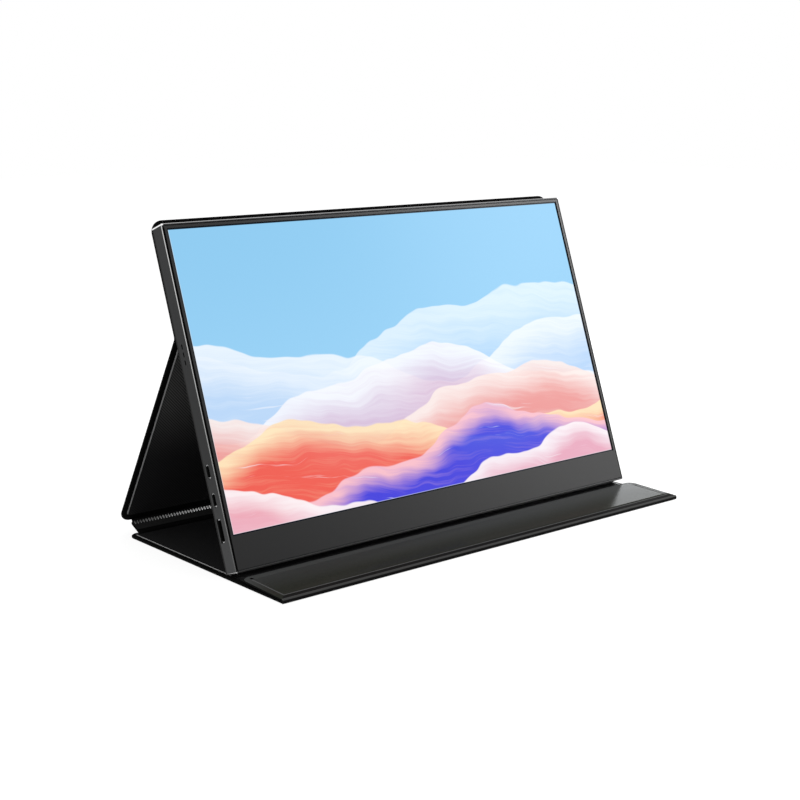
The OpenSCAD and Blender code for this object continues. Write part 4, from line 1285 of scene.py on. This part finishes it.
class MONITOR_OT_cover_folds(bpy.types.Operator):
    """Model the soft folds between the cover's panels"""
    bl_idname = "monitor.cover_folds"
    bl_label = "Cover Folds"

    def execute(self, context):
        cover = context.scene.monitor_cover
        folds = (
            # node, both bodies, directions before and after it, how far its ends stay in
            ("floor_fold", "floor_panel", "spine", 0.0, SPINE_A, 0.0),
            ("leg_fold", "spine", "leg", SPINE_A, LEG_A, 1.9 * MM),
            ("back_fold", "leg", "back_panel", LEG_A, BACK_A, 0.0),
        )
        for node, first, second, start, end, stay_in in folds:
            pivot = hinge(f"{node}_hinge")
            low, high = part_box(node)
            obj = bent_strip(f"{node}_leather", high.x - low.x - 2 * stay_in, cover.fold_t, pivot, start, end)
            dress(obj, fold_finish(node, cover))
            before = pivot - heading(start) * FOLD_HALF
            after = pivot + heading(end) * FOLD_HALF
            self.bend_between(obj, node, first, second, before, after)
        self.roll(cover)
        return {"FINISHED"}

    def roll(self, cover):
        """The flap's fold is a roll of leather round the front edge."""
        low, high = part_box("flap_fold")
        radius = flap_axis.z
        underside = flap_axis + Vector((0, 0, PANEL_T / 2 - radius))
        obj = start_with(bpy.ops.mesh.primitive_plane_add, "flap_fold_leather",
                         (high.x - low.x, PANEL_T, 1), panel_place(underside, math.pi / 2), size=1)
        edit()
        pick_all()
        sweep(flap_axis, FLAP_TILT - math.pi, steps=20)
        close()
        face_out(obj)
        dress(obj, roll_finish(cover))
        before, after = flap_axis + Vector((0, 0, -radius)), flap_axis + Vector((0, 0, radius))
        self.bend_between(obj, "flap_fold", "floor_panel", "flap", before, after)

    def bend_between(self, obj, node, first, second, before, after):
        """A finished fold stands for its node."""
        smooth(obj, 50)
        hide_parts(node)
        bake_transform(obj)


# ---- the stage ----

class MONITOR_OT_stage(bpy.types.Operator):
    """Set the floor, the light and the camera"""
    bl_idname = "monitor.stage"
    bl_label = "Stage"

    def execute(self, context):
        scene = context.scene
        stage = scene.monitor_stage
        scene.view_settings.view_transform = "Standard"
        deselect()
        bpy.ops.mesh.primitive_plane_add(size=8, location=(0, 0, -0.1 * MM))
        floor = context.object
        floor.name = floor.data.name = "studio_floor"
        dress(floor, self.floor_finish(stage))
        self.light_world(scene, stage)
        white, cool = (1, 1, 1), (0.95, 0.98, 1.0)
        lamps = (
            # name, place, target, size, watts, tint
            ("chin_softbox", (0.62, -0.44, 0.16), (0.15, -0.05, 0.03), (0.3, 0.3), 1.25, white),
            ("top_softbox", (0.58, -0.34, 0.46), (0.15, 0.02, 0.2), (0.3, 0.25), 3.6, white),
            ("rear_softbox", (0.74, 0.417, 0.243), (0.15, -0.07, 0.004), (0.32, 0.16), 1.65, cool),
            ("side_softbox", (-0.95, -0.1, 0.13), (-0.1, 0.11, 0.02), (0.3, 0.15), 4.5, white),
        )
        for lamp in lamps:
            self.lamp(scene, *lamp)
        self.camera(scene, stage)
        return {"FINISHED"}

    def floor_finish(self, stage):
        """Pale floor that looks white and keeps the object's shadow."""
        material = bpy.data.materials.new("studio_floor_white")
        floor = Nodes(material, empty=True)
        paint = floor.add("ShaderNodeBsdfDiffuse", Color=grey(stage.floor_paint))
        glow = floor.add("ShaderNodeEmission", Strength=floor.product(floor.seen(), stage.floor_glow))
        both = floor.add("ShaderNodeAddShader", _0=paint, _1=glow)
        floor.node("ShaderNodeOutputMaterial", Surface=both)
        return material

    def light_world(self, scene, stage):
        """Even light all round, which looks white where it is seen."""
        scene.world = scene.world or bpy.data.worlds.new("studio_world")
        world = Nodes(scene.world, empty=True)
        strength = world.add("ShaderNodeMapRange", _0=world.seen(), _3=stage.level, _4=1.0)
        back = world.add("ShaderNodeBackground", Color=grey(1), Strength=strength)
        world.node("ShaderNodeOutputWorld", Surface=back)

    def lamp(self, scene, name, place, target, size, power, tint):
        data = bpy.data.lights.new(name, "AREA")
        data.color = tint
        data.shape = "RECTANGLE"
        data.size, data.size_y = size
        data.energy = power
        lamp = bpy.data.objects.new(name, data)
        scene.collection.objects.link(lamp)
        lamp.visible_camera = False
        lamp.location = place
        lamp.rotation_euler = (Vector(target) - Vector(place)).to_track_quat("-Z", "Y").to_euler()

    def camera(self, scene, stage):
        data = bpy.data.cameras.new("studio_camera")
        camera = bpy.data.objects.new("studio_camera", data)
        scene.collection.objects.link(camera)
        a, e, r = stage.azimuth, stage.elevation, stage.roll
        back = Vector((math.sin(a) * math.cos(e), -math.cos(a) * math.cos(e), math.sin(e)))
        right = Vector((0, 0, 1)).cross(back).normalized()
        up = back.cross(right)
        right, up = right * math.cos(r) + up * math.sin(r), up * math.cos(r) - right * math.sin(r)
        turn = Matrix((right, up, back)).transposed().to_4x4()
        camera.matrix_world = Matrix.Translation(stage.place) @ turn
        half_pixel = 0.5 / 800
        data.lens = stage.lens
        data.sensor_width = 36
        data.shift_x, data.shift_y = -half_pixel, half_pixel
        data.clip_start, data.clip_end = 0.01, 50
        scene.camera = camera


class VIEW3D_PT_portable_monitor(bpy.types.Panel):
    """Steps and sizes of the portable monitor"""
    bl_label = "Portable Monitor"
    bl_idname = "VIEW3D_PT_portable_monitor"
    bl_space_type = "VIEW_3D"
    bl_region_type = "UI"
    bl_category = "Monitor"

    def draw(self, context):
        for step in STEPS:
            self.layout.operator(step.bl_idname)
        for group in GROUPS:
            settings = getattr(context.scene, group)
            box = self.layout.box()
            for name in settings.__annotations__:
                box.prop(settings, name)


GROUPS = {
    "monitor_case": CaseSettings,
    "monitor_screen": ScreenSettings,
    "monitor_cover": CoverSettings,
    "monitor_stage": StageSettings,
}
STEPS = [
    MONITOR_OT_case,
    MONITOR_OT_screen,
    MONITOR_OT_inner_parts,
    MONITOR_OT_ports,
    MONITOR_OT_buttons,
    MONITOR_OT_case_screws,
    MONITOR_OT_cover_panels,
    MONITOR_OT_spine_ribs,
    MONITOR_OT_cover_folds,
    MONITOR_OT_stage,
]
CLASSES = [*GROUPS.values(), *STEPS, VIEW3D_PT_portable_monitor]


def register():
    for cls in CLASSES:
        bpy.utils.register_class(cls)
    for name, group in GROUPS.items():
        setattr(bpy.types.Scene, name, PointerProperty(type=group))


def unregister():
    for name in GROUPS:
        delattr(bpy.types.Scene, name)
    for cls in reversed(CLASSES):
        bpy.utils.unregister_class(cls)


def main():
    register()
    bpy.ops.monitor.case()
    bpy.ops.monitor.screen()
    bpy.ops.monitor.inner_parts()
    bpy.ops.monitor.ports()
    bpy.ops.monitor.buttons()
    bpy.ops.monitor.case_screws()
    bpy.ops.monitor.cover_panels()
    bpy.ops.monitor.spine_ribs()
    bpy.ops.monitor.cover_folds()
    bpy.ops.monitor.stage()


if __name__ == "__main__":
    main()
